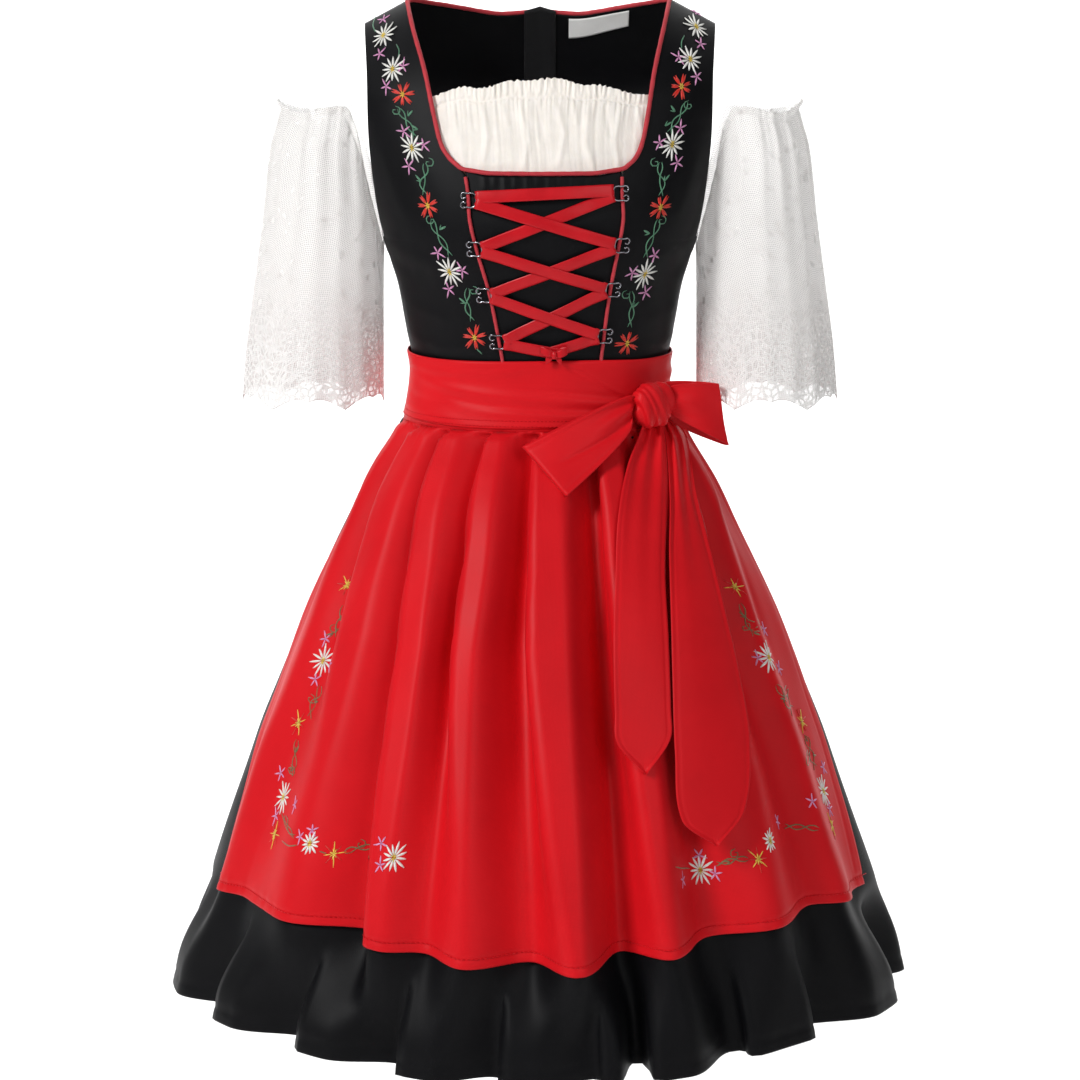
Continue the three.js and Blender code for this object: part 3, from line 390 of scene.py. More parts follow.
@flat_call
def skirt(angle, z, out):
    rise, push = pleats(angle, z)
    front = np.cos(np.radians(angle))
    # Under the apron the skirt is flatter and lies well in, clear of the apron's deep folds.
    hidden = smooth((front - 0.34) / 0.16) * smooth((-405 - z) / 70) * smooth((z + 868) / 45)
    rise, push = lerp(rise, HIDDEN_FOLDS * rise - HIDDEN_INSET, hidden), push * (1 - hidden)
    own = smooth((APRON_HEM + 5 - z) / 85)
    hem_at, hem_rise, hem_edge = (
        np.repeat(HEM_FOLDS[key][:, None], len(angle), 1) for key in ("at", "rise", "edge")
    )
    wide, aside = fold_steps(hem_at, hem_rise, hem_edge, angle, HEM_OVERLAP)
    waves = ripple(angle, z) * smooth((APRON_TOP - z) / 60)
    return ring(angle + lerp(push, aside, own), z, out + lerp(rise, HEM_DEPTH * wide, own) + waves)


@flat_call
def apron(angle, z, out):
    """The apron's face, out millimetres outside the skirt's form, apart from its own waves."""
    rise, push = pleats(angle, z)
    waves = ripple(angle, z) * smooth((APRON_TOP - z) / 60)
    return ring(angle + push, z, out + rise + waves)


def hem_lift(angle, lift):
    front = np.cos(np.radians(angle)) > 0
    return np.where(front, lift * np.sin(np.radians(2 * angle)) ** 2, 0)


def creases(s, z, lines):
    """What the listed creases add at s across and z up. Each is (height, width, points): a soft ridge,
    or with a third word "fold" an edge where the cloth above it lies over the cloth below it."""
    total = np.zeros(np.broadcast(s, z).shape)
    for height, width, points, *kind in lines:
        points = np.array(points, float)
        nearest = np.full(total.shape, np.inf)
        value = np.zeros(total.shape)
        for i, ((s0, z0), (s1, z1)) in enumerate(zip(points, points[1:])):
            length = math.hypot(s1 - s0, z1 - z0)
            along = np.clip(((s - s0) * (s1 - s0) + (z - z0) * (z1 - z0)) / length**2, 0, 1)
            away = np.hypot(s - s0 - along * (s1 - s0), z - z0 - along * (z1 - z0))
            side = ((s1 - s0) * (z - z0) - (z1 - z0) * (s - s0)) / length
            share = (i + along) / (len(points) - 1)
            fade = smooth(5 * np.minimum(share, 1 - share) + 0.02)
            if kind:
                shape = np.exp(-np.abs(side) / (3 * width)) / (1 + np.exp(-3 * side / width))
                shape *= np.exp(-((np.maximum(away - np.abs(side), 0) / width) ** 2))
            else:
                shape = np.exp(-((away / width) ** 2))
            closer = away < nearest
            nearest = np.where(closer, away, nearest)
            value = np.where(closer, height * fade * shape, value)
        total += value
    return total


def inner_edge(side, h):
    """The inner edge of a side front: the princess seam, then the neckline up to the shoulder."""
    out = -1 if side == "left" else 1
    low, seam_top = -165.0, NECK_BOTTOM - 1.0
    level = np.maximum(h, low)
    slope = follow(NECK_EDGE, "h", side, level + 1) - follow(NECK_EDGE, "h", side, level)
    neck = follow(NECK_EDGE, "h", side, level) + out * 0.9 * np.hypot(1, slope)
    seam = follow(PRINCESS, "h", side, np.minimum(h, seam_top))
    return np.where(h >= low, neck, lerp(seam, neck, np.clip((h - seam_top) / (low - seam_top), 0, 1)))


def outer_angle(h, face):
    """The angle of a panel's outer edge: the armhole above the underarm, the side seam below it."""
    low = -234.0
    curve = angle_at(follow(ARMHOLE, "h", face, np.maximum(h, low)), np.maximum(h, low))
    drop = np.sqrt(np.clip((low - h) / (low - UNDERARM), 0, 1))
    return lerp(curve, 90, drop)


def locate(surface, x, z):
    """The angle and height at which a surface shows x and z from the front."""
    x, z = np.array(x, float), np.array(z, float)
    h, angle = z.copy(), angle_at(x, z)
    for _ in range(25):
        point = surface(angle, h)
        turn = (surface(angle + 0.2, h) - surface(angle - 0.2, h)) / 0.4
        rise = (surface(angle, h + 0.5) - surface(angle, h - 0.5)) / 1.0
        dx, dz = x - point[..., 0], z - point[..., 2]
        det = turn[..., 0] * rise[..., 2] - rise[..., 0] * turn[..., 2]
        det = np.where(np.abs(det) < 0.05, 0.05, det)
        angle = angle + np.clip((dx * rise[..., 2] - dz * rise[..., 0]) / det, -4, 4) * 0.8
        h = h + np.clip((turn[..., 0] * dz - turn[..., 2] * dx) / det, -9, 9) * 0.8
    return angle, h


def through(points, count):
    """count points, evenly spaced, on a smooth curve through some points."""
    p = np.array(points, float)
    chord = np.concatenate([[0], np.cumsum(np.linalg.norm(np.diff(p, axis=0), axis=1))])
    rows = {"t": chord, **{str(k): p[:, k] for k in range(p.shape[1])}}
    fine = np.linspace(0, chord[-1], 12 * len(p))
    line = np.stack([follow(rows, "t", str(k), fine) for k in range(p.shape[1])], axis=-1)
    run = np.concatenate([[0], np.cumsum(np.linalg.norm(np.diff(line, axis=0), axis=1))])
    at = np.linspace(0, run[-1], count)
    return np.stack([np.interp(at, run, line[:, k]) for k in range(p.shape[1])], axis=-1)


def spread(*stretches):
    """Levels from one value to the next, closer together where the cloth needs it."""
    parts = [np.linspace(start, end, count, endpoint=False) for start, end, count in stretches]
    return np.concatenate(parts + [[stretches[-1][1]]])


# ------------------------------------------------------------------ making pieces


def link_piece(name, mesh):
    piece = bpy.data.objects.new(name, mesh)
    bpy.context.scene.collection.objects.link(piece)
    mesh.shade_smooth()
    return piece


def grid_mesh(name, columns, rows, place, around=False, along=False):
    """A sheet: place(u, v) gives its outer face in mm, u running to the right and v upwards. Its UV map
    holds real metres across and up. around and along close it on itself."""
    shell = bmesh.new()
    bmesh.ops.create_grid(shell, x_segments=columns, y_segments=rows, size=1.0)
    mesh = bpy.data.meshes.new(name)
    shell.to_mesh(mesh)
    shell.free()
    flat = np.zeros(len(mesh.vertices) * 3)
    mesh.vertices.foreach_get("co", flat)
    u, v = (flat.reshape(-1, 3)[:, 0] + 1) / 2, (flat.reshape(-1, 3)[:, 1] + 1) / 2
    points = place(u, v) * MM
    mesh.vertices.foreach_set("co", points.astype(np.float32).ravel())
    i, j = np.rint(u * columns).astype(int), np.rint(v * rows).astype(int)
    net = np.zeros((rows + 1, columns + 1, 3))
    net[j, i] = points
    across = np.zeros(net.shape[:2])
    across[:, 1:] = np.cumsum(np.linalg.norm(np.diff(net, axis=1), axis=-1), axis=1)
    across -= across[:, columns // 2][:, None]
    up = np.zeros(net.shape[:2])
    up[1:] = np.cumsum(np.linalg.norm(np.diff(net, axis=0), axis=-1), axis=0)
    own = np.stack([across[j, i], up[j, i]], axis=-1)
    corner = np.zeros(len(mesh.loops), np.int32)
    mesh.loops.foreach_get("vertex_index", corner)
    layer = mesh.uv_layers.new(name="Cloth")
    layer.data.foreach_set("uv", own[corner].astype(np.float32).ravel())
    if around or along:
        shell = bmesh.new()
        shell.from_mesh(mesh)
        bmesh.ops.remove_doubles(shell, verts=shell.verts, dist=1e-6)
        shell.to_mesh(mesh)
        shell.free()
    return mesh


def cloth(name, columns, rows, place, thickness, around=False):
    """A sheet of cloth with its real thickness inside the face that place gives."""
    piece = link_piece(name, grid_mesh(name, columns, rows, place, around))
    wall = piece.modifiers.new("Cloth thickness", "SOLIDIFY")
    wall.thickness = thickness * MM
    wall.offset = -1
    return piece


def frames(path, closed=False, guide=(0, 0, 1)):
    """A sideways and an upward direction at each point of a path, without a twist."""
    ahead = unit(np.roll(path, -1, 0) - np.roll(path, 1, 0)) if closed else unit(np.gradient(path, axis=0))
    aside = []
    last = np.array(guide, float)
    for direction in ahead:
        last = last - direction * (last @ direction)
        last /= max(np.linalg.norm(last), 1e-9)
        aside.append(last)
    aside = np.array(aside)
    return aside, np.cross(ahead, aside)


def tube_mesh(name, path, radius, sides=8, closed=False, guide=(0, 0, 1)):
    """A round cord along a path in mm, closed over its ends."""
    path = np.array(path, float)
    if closed:
        path = np.concatenate([path, path[:1]])
    aside, upward = frames(path, closed, guide)
    if closed:
        aside[-1], upward[-1] = aside[0], upward[0]
    steps = len(path) - 1
    radii = np.broadcast_to(radius, len(path)).astype(float)
    if not closed:  # two more rings close each end
        path = np.concatenate([path[:1], path, path[-1:]])
        aside = np.concatenate([aside[:1], aside, aside[-1:]])
        upward = np.concatenate([upward[:1], upward, upward[-1:]])
        radii = np.concatenate([[1e-4], radii, [1e-4]])
        steps += 2

    def place(u, v):
        i = np.rint(v * steps).astype(int)
        turn = 2 * np.pi * u
        return (
            path[i]
            + aside[i] * (np.cos(turn) * radii[i])[:, None]
            + upward[i] * (np.sin(turn) * radii[i])[:, None]
        )

    mesh = grid_mesh(name, sides, steps, place, around=True)
    return outward(mesh)


def outward(mesh):
    """Closes a mesh's poles and turns its faces outwards."""
    shell = bmesh.new()
    shell.from_mesh(mesh)
    bmesh.ops.remove_doubles(shell, verts=shell.verts, dist=1e-6)
    bmesh.ops.recalc_face_normals(shell, faces=shell.faces)
    shell.to_mesh(mesh)
    shell.free()
    return mesh


def joined(name, meshes):
    """One piece from several meshes."""
    shell = bmesh.new()
    for mesh in meshes:
        shell.from_mesh(mesh)
        bpy.data.meshes.remove(mesh)
    whole = bpy.data.meshes.new(name)
    shell.to_mesh(whole)
    shell.free()
    return link_piece(name, whole)


def finish_piece(piece, material, slot, *nodes, body="dress"):
    """Gives a piece its material and its body, and hides the frame's nodes that it stands for."""
    piece.data.materials.clear()
    piece.data.materials.append(material)
    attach(piece, body)
    if nodes:
        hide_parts(*nodes)
    return piece


class Needlework:
    """Raised stitches on a surface, gathered until they are made into one piece."""

    def __init__(self, surface):
        self.surface = surface
        self.known = {}  # scales worked out so far, by place
        self.steps = []  # for each stitch: segments along it, angles, heights and lifts of its points

    def scales(self, angle, h):
        """Millimetres of cloth for a degree round and for a millimetre of height, at each place."""
        turn = np.linalg.norm(self.surface(angle + 0.1, h) - self.surface(angle - 0.1, h), axis=-1)
        rise = np.linalg.norm(self.surface(angle, h + 0.5) - self.surface(angle, h - 0.5), axis=-1)
        return np.maximum(turn / 0.2, 0.5), np.maximum(rise, 0.3)

    def strip(self, angle, h, widths, lift, scales=None):
        """A stitch or a stem through points of the surface, with a width at each."""
        per_degree, per_rise = self.scales(angle, h) if scales is None else scales
        p, q = np.gradient(angle) * per_degree, np.gradient(h) * per_rise
        length = np.maximum(np.hypot(p, q), 1e-9)
        for_angle, for_height = q / length / per_degree, -p / length / per_rise
        rows = []
        for side, high in ((-0.5, 0.12), (0, lift), (0.5, 0.12)):
            rows.append((angle + side * widths * for_angle, h + side * widths * for_height,
                         np.full(len(angle), float(high))))
        self.steps.append((len(angle) - 1, rows))

    def petal(self, centre, turn, inner, outer, width, lift=0.8, points=5, stretch=1.0):
        """A long stitch that leaves a flower's middle at turn degrees; stretch makes the flower taller."""
        angle, h = centre
        if centre not in self.known:
            self.known[centre] = self.scales(angle, h)
        per_degree, per_rise = self.known[centre]
        t = np.linspace(0, 1, points)
        reach = lerp(inner, outer, t)
        p, q = np.cos(math.radians(turn)), np.sin(math.radians(turn)) * stretch
        widths = width * np.maximum(np.sin(np.pi * (0.08 + 0.87 * t)), 0.1) ** 0.7
        self.strip(angle + reach * p / per_degree, h + reach * q / per_rise, widths, lift, self.known[centre])

    def line(self, points, width, lift=0.5, count=None, taper=0.35):
        """A stem or tendril through places given as x and z from the front."""
        points = np.array(points, float)
        angle, h = locate(self.surface, points[:, 0], points[:, 1])
        length = np.linalg.norm(np.diff(points, axis=0), axis=1).sum()
        path = through(np.stack([angle, h], -1), count or max(6, int(length / 2.2)))
        t = np.linspace(0, 1, len(path))
        widths = width * np.minimum(1, lerp(taper, 1, np.minimum(t, 1 - t) * 8))
        self.strip(path[:, 0], path[:, 1], widths, lift)

    def made(self, name, wall=0.25):
        """One piece of all the stitches so far."""
        shell = bmesh.new()
        layer = shell.loops.layers.uv.new("Cloth")
        angles, heights, lifts = [], [], []
        for count, rows in self.steps:
            grid = bmesh.ops.create_grid(shell, x_segments=2, y_segments=count, size=1.0)["verts"]
            for vert in grid:
                i, j = round(vert.co.x + 1), round((vert.co.y + 1) / 2 * count)
                angles.append(rows[i][0][j])
                heights.append(rows[i][1][j])
                lifts.append(rows[i][2][j])
            for face in {face for vert in grid for face in vert.link_faces}:
                for loop in face.loops:
                    loop[layer].uv = (loop.vert.co.x * 0.5, loop.vert.co.y * count * 0.5)
        places = self.surface(np.array(angles), np.array(heights), np.array(lifts)) * MM
        for vert, place in zip(shell.verts, places):
            vert.co = place
        mesh = bpy.data.meshes.new(name)
        shell.to_mesh(mesh)
        shell.free()
        piece = link_piece(name, mesh)
        thickness = piece.modifiers.new("Thread thickness", "SOLIDIFY")
        thickness.thickness, thickness.offset = wall * MM, -1
        return piece


# ------------------------------------------------------------------ materials


def linear(hex_colour):
    """A hex sRGB colour as linear red, green, blue and alpha."""
    values = [int(hex_colour[i : i + 2], 16) / 255 for i in (1, 3, 5)]
    return tuple(v / 12.92 if v <= 0.04045 else ((v + 0.055) / 1.055) ** 2.4 for v in values) + (1.0,)


def add_node(tree, kind, inputs=None, **settings):
    """Adds a shader node, with its settings and its inputs: sockets are linked, other values are set."""
    node = tree.nodes.new(kind)
    for name, value in settings.items():
        setattr(node, name, value)
    for name, value in (inputs or {}).items():
        if isinstance(value, bpy.types.NodeSocket):
            tree.links.new(value, node.inputs[name])
        else:
            node.inputs[name].default_value = value
    return node


def uv_place(tree):
    """Places on the piece's own cloth."""
    return add_node(tree, "ShaderNodeUVMap", uv_map="Cloth").outputs["UV"]


def object_place(tree):
    return add_node(tree, "ShaderNodeTexCoord").outputs["Object"]


def ranged(tree, value, low, high, start=0.0, end=1.0):
    """A value that goes from low to high as another goes from start to end."""
    limits = {"Value": value, "From Min": start, "From Max": end, "To Min": low, "To Max": high}
    return add_node(tree, "ShaderNodeMapRange", limits).outputs["Result"]


def bumped(tree, height, strength, depth):
    """The normal of a surface with this height, depth mm deep."""
    inputs = {"Height": height, "Strength": strength, "Distance": depth * MM}
    return add_node(tree, "ShaderNodeBump", inputs).outputs["Normal"]


def worked_out(tree, operation, *values, **settings):
    inputs = dict(enumerate(values))
    return add_node(tree, "ShaderNodeMath", inputs, operation=operation, **settings).outputs["Value"]


def bands(size):
    """The Wave texture scale whose bands repeat every size mm."""
    return 2 * math.pi / 20 / (size * MM)


def cells(size):
    """The scale of a noise or cell texture whose features are size mm."""
    return 1 / (size * MM)


def new_material(name):
    material = bpy.data.materials.new(name)
    material.use_nodes = True
    material.node_tree.nodes.clear()
    return material, material.node_tree


def close_material(tree, inputs):
    """The last two nodes of every material."""
    shader = add_node(tree, "ShaderNodeBsdfPrincipled", inputs)
    add_node(tree, "ShaderNodeOutputMaterial", {"Surface": shader.outputs["BSDF"]})


def shaded(tree, colour, darker, lighter, size, place):
    """A colour that drifts between a darker and a lighter one in soft patches, size mm across."""
    noise = add_node(
        tree,
        "ShaderNodeTexNoise",
        {"Vector": place, "Scale": cells(size), "Detail": 4.0, "Roughness": 0.6},
    )
    ramp = add_node(tree, "ShaderNodeValToRGB", {"Fac": noise.outputs["Fac"]})
    stops = ramp.color_ramp.elements
    stops[0].position, stops[1].position = 0.3, 0.7
    base = np.array(colour[:3])
    stops[0].color = (*(base * darker), 1)
    stops[1].color = (*np.minimum(base * lighter, 1), 1)
    return ramp.outputs["Color"], noise.outputs["Fac"]


def weave_height(tree, place, thread, slant):
    """Crossing threads, thread mm apart, turned by slant degrees on the cloth."""
    turned = add_node(
        tree, "ShaderNodeMapping", {"Vector": place, "Rotation": (0, 0, math.radians(slant))}
    ).outputs["Vector"]
    threads = [
        add_node(
            tree,
            "ShaderNodeTexWave",
            {"Vector": turned, "Scale": bands(thread), "Distortion": 0.6, "Detail": 1.0},
            wave_type="BANDS",
            bands_direction=direction,
        ).outputs["Fac"]
        for direction in ("X", "Y")
    ]
    return worked_out(tree, "MULTIPLY", *threads)


def woven_cloth(
    name, colour, thread, slant, roughness, sheen, patches=(0.86, 1.12, 60), depth=0.12, specular=0.35
):
    """A woven cloth with soft uneven dye and painted shade between its threads, its weave on the piece's own
    UV map.
    """
    material, tree = new_material(name)
    own = uv_place(tree)
    place = object_place(tree)
    darker, lighter, size = patches
    tint, drift = shaded(tree, colour, darker, lighter, size, place)
    weave = weave_height(tree, own, thread, slant)
    slub = add_node(
        tree, "ShaderNodeTexNoise", {"Vector": own, "Scale": cells(9), "Detail": 3.0}
    ).outputs["Fac"]
    height = worked_out(tree, "MULTIPLY_ADD", slub, 0.8, weave)
    # The colour is darkened by up to 16 % where the weave is low: painted shade in the gaps between the
    # threads.
    tint_with_painted_shade = add_node(
        tree,
        "ShaderNodeMix",
        {"Factor": ranged(tree, weave, 0.16, 0.0), 6: tint, 7: (0.0, 0.0, 0.0, 1.0)},
        data_type="RGBA",
        blend_type="MULTIPLY",
    )
    close_material(
        tree,
        {
            "Base Color": tint_with_painted_shade.outputs[2],
            "Roughness": ranged(tree, drift, roughness - 0.05, roughness + 0.07),
            "Normal": bumped(tree, height, 0.5, depth),
            "Specular IOR Level": specular,
            "Sheen Weight": sheen,
            "Sheen Roughness": 0.4,
        },
    )
    return material


def black_cotton_sateen(colour):
    """Cotton sateen, piece-dyed black and pressed: soft broad highlights on the crests of the folds, and a
    fine diagonal, here 1.4 mm apart and so a little coarser than the real one, which would not show."""
    return woven_cloth("Black cotton sateen", colour, 1.4, 38, 0.5, 0.01, (0.8, 1.25, 70), 0.1, 0.13)


def red_apron_satin(colour):
    """Polyester apron satin, woven smooth: an even strong red with a low soft sheen."""
    return woven_cloth("Red apron satin", colour, 1.2, 0, 0.46, 0.02, (0.93, 1.06, 90), 0.06, 0.13)


def red_satin_ribbon(colour):
    """Double-faced satin ribbon: brighter gloss along its length, with fine ribs across it."""
    return woven_cloth("Red satin ribbon", colour, 0.9, 0, 0.34, 0.03, (0.9, 1.08, 25), 0.05, 0.26)


def red_bias_tape(colour):
    """Cotton bias tape over cord: matt, with its threads slanting round the piping."""
    return woven_cloth("Red bias tape", colour, 1.1, 45, 0.66, 0.05, (0.85, 1.15, 12), 0.12)


def ivory_crepe(colour):
    """Cotton crepe, undyed: finely crinkled and matt, with a warm shade in its gathers."""
    material, tree = new_material("Ivory cotton crepe")
    own = uv_place(tree)
    place = object_place(tree)
    tint = shaded(tree, colour, 0.93, 1.03, 22, place)[0]
    drawn = add_node(
        tree, "ShaderNodeMapping", {"Vector": own, "Scale": (1.0, 0.25, 1.0)}
    ).outputs["Vector"]
    crinkle = add_node(
        tree, "ShaderNodeTexNoise", {"Vector": drawn, "Scale": cells(2.2), "Detail": 6.0}
    ).outputs["Fac"]
    close_material(
        tree,
        {
            "Base Color": tint,
            "Roughness": 0.8,
            "Normal": bumped(tree, crinkle, 0.6, 0.4),
            "Sheen Weight": 0.2,
            "Subsurface Weight": 0.12,
            "Subsurface Radius": (0.004, 0.003, 0.002),
            "Subsurface Scale": 0.5,
        },
    )
    return material


def white_net(colour):
    """Polyester tulle, knitted in small holes and embroidered with sprays in white thread: half clear
    between the sprays and closed on them, denser towards the hem."""
    material, tree = new_material("White embroidered net")
    own = uv_place(tree)

    def cell_texture(size, uneven, **settings):
        inputs = {"Vector": own, "Scale": cells(size), "Randomness": uneven}
        return add_node(tree, "ShaderNodeTexVoronoi", inputs, **settings).outputs["Distance"]

    edge = {"feature": "DISTANCE_TO_EDGE"}
    net = ranged(tree, cell_texture(2.0, 0.25, **edge), 0.74, 0.3, 0.02, 0.2)
    blossom = ranged(tree, cell_texture(15, 0.85), 0.34, 0.0, 0.2, 0.26)
    vine = ranged(tree, cell_texture(6.5, 1.0, **edge), 0.5, 0.0, 0.05, 0.16)
    height = add_node(tree, "ShaderNodeSeparateXYZ", {"Vector": own}).outputs["Y"]
    near_hem = ranged(tree, height, 1.0, 0.0, 0.03, 0.11)
    sprays = worked_out(tree, "MAXIMUM", blossom, worked_out(tree, "MULTIPLY", vine, near_hem))
    close_material(
        tree,
        {
            "Base Color": colour,
            "Roughness": 0.75,
            "Alpha": worked_out(tree, "ADD", net, sprays, use_clamp=True),
            "Normal": bumped(tree, sprays, 0.6, 0.4),
            "Sheen Weight": 0.1,
        },
    )
    return material


def plain_metal(name, colour, roughness, metallic, grain):
    material, tree = new_material(name)
    place = object_place(tree)
    tint, drift = shaded(tree, colour, 0.8, 1.1, grain, place)
    close_material(
        tree,
        {
            "Base Color": tint,
            "Metallic": metallic,
            "Roughness": ranged(tree, drift, roughness - 0.06, roughness + 0.1),
            "Normal": bumped(tree, drift, 0.2, 0.05),
        },
    )
    return material


def nickel_wire(colour):
    """Nickel-plated steel wire, bent cold: bright, with a slightly dulled plating."""
    return plain_metal("Nickel-plated wire", colour, 0.2, 1.0, 3)


def black_zinc(colour):
    """Die-cast zinc, painted black: smooth satin paint."""
    return plain_metal("Black painted zinc", colour, 0.4, 0.3, 4)


def zip_tape_weave(colour):
    """Polyester zip tape and nylon coil, dyed black: ribbed along its length and slightly glossy."""
    return woven_cloth("Black zip tape", colour, 1.6, 0, 0.5, 0.1, (0.85, 1.2, 10), 0.12)


def white_label_satin(colour):
    """Woven white label satin, left blank: smooth and a little glossy."""
    return woven_cloth("White label satin", colour, 0.8, 0, 0.45, 0.1, (0.97, 1.02, 15), 0.05)


def embroidery_thread(name, colour):
    """Rayon embroidery thread: glossy, with fine ridges along each stitch, 0.5 mm apart."""
    material, tree = new_material(f"{name} rayon thread")
    own = uv_place(tree)
    place = object_place(tree)
    tint = shaded(tree, colour, 0.84, 1.12, 4, place)[0]
    ridges = add_node(
        tree,
        "ShaderNodeTexWave",
        {"Vector": own, "Scale": 2.4, "Distortion": 0.5},
        wave_type="BANDS",
        bands_direction="X",
    ).outputs["Fac"]
    close_material(
        tree,
        {
            "Base Color": tint,
            "Roughness": 0.38,
            "Normal": bumped(tree, ridges, 0.5, 0.15),
            "Sheen Weight": 0.15,
        },
    )
    return material


def studio_paper(colour):
    """Seamless studio paper: matt and even, with a faint fibre."""
    material, tree = new_material("Studio paper")
    place = object_place(tree)
    tint = shaded(tree, colour, 0.99, 1.01, 400, place)[0]
    close_material(tree, {"Base Color": tint, "Roughness": 0.95})
    return material


# ------------------------------------------------------------------ settings


def length(label, about, default, low, high):
    return FloatProperty(
        name=label, description=about, default=default * MM, min=low * MM, max=high * MM,
        unit="LENGTH", precision=4,
    )


def swatch(label, about, default):
    return FloatVectorProperty(
        name=label, description=about, default=linear(default), size=4, subtype="COLOR", min=0, max=1
    )


class DirndlSizes(bpy.types.PropertyGroup):
    """Sizes that a user would change."""

    bodice_wall: length("Bodice cloth", "Thickness of the lined bodice cloth", 1.3, 0.5, 3)
    skirt_wall: length("Skirt cloth", "Thickness of the skirt and apron cloth", 1.0, 0.5, 3)
    net_wall: length("Sleeve net", "Thickness of the sleeve net", 0.6, 0.3, 2)
    apron_clearance: length("Apron clearance", "How far the apron hangs in front of the skirt", 7, 4, 10)
    ribbon_width: length("Ribbon width", "Width of the lacing ribbon", 11, 6, 14)
    wire_thickness: length("Hook wire", "Thickness of the lacing hooks' wire", 1.7, 0.8, 1.8)
    sash_fold: length("Sash folds", "Height of the soft folds in the sash", 1.5, 0, 3)
    thread_lift: length("Stitch height", "How far the embroidery stands off the cloth", 0.8, 0.3, 1.5)


class DirndlColours(bpy.types.PropertyGroup):
    """Colours of the cloths, trim and threads."""

    black: swatch("Black cloth", "Bodice and skirt", "#08080b")
    red: swatch("Red cloth", "Apron, sash and bow", "#dc141e")
    ribbon: swatch("Ribbon", "Lacing ribbon", "#c80f1c")
    piping: swatch("Piping", "Piping and bindings", "#c23640")
    ivory: swatch("Ivory cloth", "Chest insert", "#f3ece4")
    net: swatch("Net", "Sleeves", "#f2f0ee")
    wire: swatch("Wire", "Lacing hooks", "#8c8c92")
    zip: swatch("Zip", "Zip tape, coil, slider and pull tab", "#0d0d10")
    label: swatch("Label", "Blank neck label", "#f4f4f2")
    white_thread: swatch("White thread", "Daisy petals", "#f6f4ee")
    yellow_thread: swatch("Yellow thread", "Flower centres", "#f4d352")
    pink_thread: swatch("Pink thread", "Small stars", "#e29ccb")
    scarlet_thread: swatch("Scarlet thread", "Red flowers", "#d92c1c")
    green_thread: swatch("Green thread", "Stems on the bodice", "#56906f")
    olive_thread: swatch("Olive thread", "Stems on the apron", "#7d6c44")
    paper: swatch("Floor", "Studio floor and wall", "#f7f7f7")


MADE = {}  # finishes made so far, so that pieces of one cloth share one material


def finish_of(make, colour, *words):
    key = (make.__name__, *words)
    if key not in MADE:
        MADE[key] = make(*words, tuple(colour))
    return MADE[key]


def settings():
    scene = bpy.context.scene
    return scene.dirndl_sizes, scene.dirndl_colours


# ------------------------------------------------------------------ bodice
# Creases on x across and height: (height, width, points).
BODICE_CREASES = [
    (1.0, 7, [(-152, -230), (-122, -248), (-92, -262)]), (-0.9, 6, [(-150, -250), (-118, -268)]),
    (0.9, 5, [(-134, -326), (-95, -337), (-52, -334)]), (-0.8, 5, [(-132, -345), (-90, -353)]),
    (0.7, 6, [(-132, -296), (-84, -310)]), (0.6, 6, [(-152, -140), (-136, -188), (-124, -218)]),
    (-0.5, 7, [(-118, -128), (-112, -170), (-96, -208)]),
    (0.6, 7, [(-150, -44), (-146, -78), (-138, -108)]), (1.0, 7, [(156, -226), (124, -246), (98, -254)]),
    (-0.9, 6, [(150, -248), (124, -270)]), (0.9, 5, [(136, -330), (104, -338), (70, -336)]),
    (-0.8, 5, [(130, -348), (96, -352)]), (0.7, 6, [(136, -300), (98, -312)]),
    (0.6, 6, [(150, -146), (140, -186), (128, -216)]), (-0.5, 7, [(124, -134), (114, -172), (104, -206)]),
    (0.6, 7, [(146, -40), (146, -76), (140, -110)]), (0.9, 2.6, [(-52, -170), (-51, -186)]),
    (0.7, 2.4, [(-43, -170), (-42, -182)]), (1.0, 2.8, [(-33, -170), (-32, -190)]),
    (0.8, 2.2, [(-23, -170), (-23, -184)]), (0.9, 2.6, [(-12, -170), (-11, -188)]),
    (0.7, 2.4, [(-2, -170), (-2, -181)]), (1.0, 2.8, [(9, -170), (9, -189)]),
    (0.8, 2.4, [(20, -170), (19, -183)]), (0.9, 2.6, [(31, -170), (31, -187)]),
    (0.7, 2.4, [(42, -170), (41, -182)]), (0.9, 2.6, [(53, -170), (52, -186)]),
    (0.7, 5, [(-60, -210), (-30, -222), (20, -220), (70, -208)]),
    (0.6, 6, [(-50, -262), (0, -270), (60, -262)]), (-0.6, 6, [(-40, -308), (10, -314), (56, -306)]),
]
BACK_CREASES = [
    (1.0, 7, [(-150, -236), (-110, -252), (-70, -258)]), (-0.8, 6, [(-146, -254), (-104, -272)]),
    (1.0, 6, [(-128, -318), (-84, -330), (-36, -326)]), (-0.8, 6, [(-126, -340), (-70, -350)]),
    (0.7, 9, [(-60, -96), (-52, -150), (-48, -200)]), (0.6, 5, [(-14, -150), (-30, -156)]),
    (0.6, 5, [(-14, -236), (-34, -244)]), (1.0, 7, [(150, -232), (112, -250), (76, -260)]),
    (-0.8, 6, [(146, -256), (100, -270)]), (1.0, 6, [(128, -322), (80, -332), (34, -328)]),
    (-0.8, 6, [(126, -344), (66, -350)]), (0.7, 9, [(64, -100), (54, -156), (50, -206)]),
    (0.6, 5, [(14, -188), (32, -194)]), (0.6, 5, [(14, -286), (34, -292)]),
]


def bodice_front(angle, h, out=0.0):
    x = ring(angle, h)[..., 0]
    return bodice(angle, h, out + creases(x, h, BODICE_CREASES))


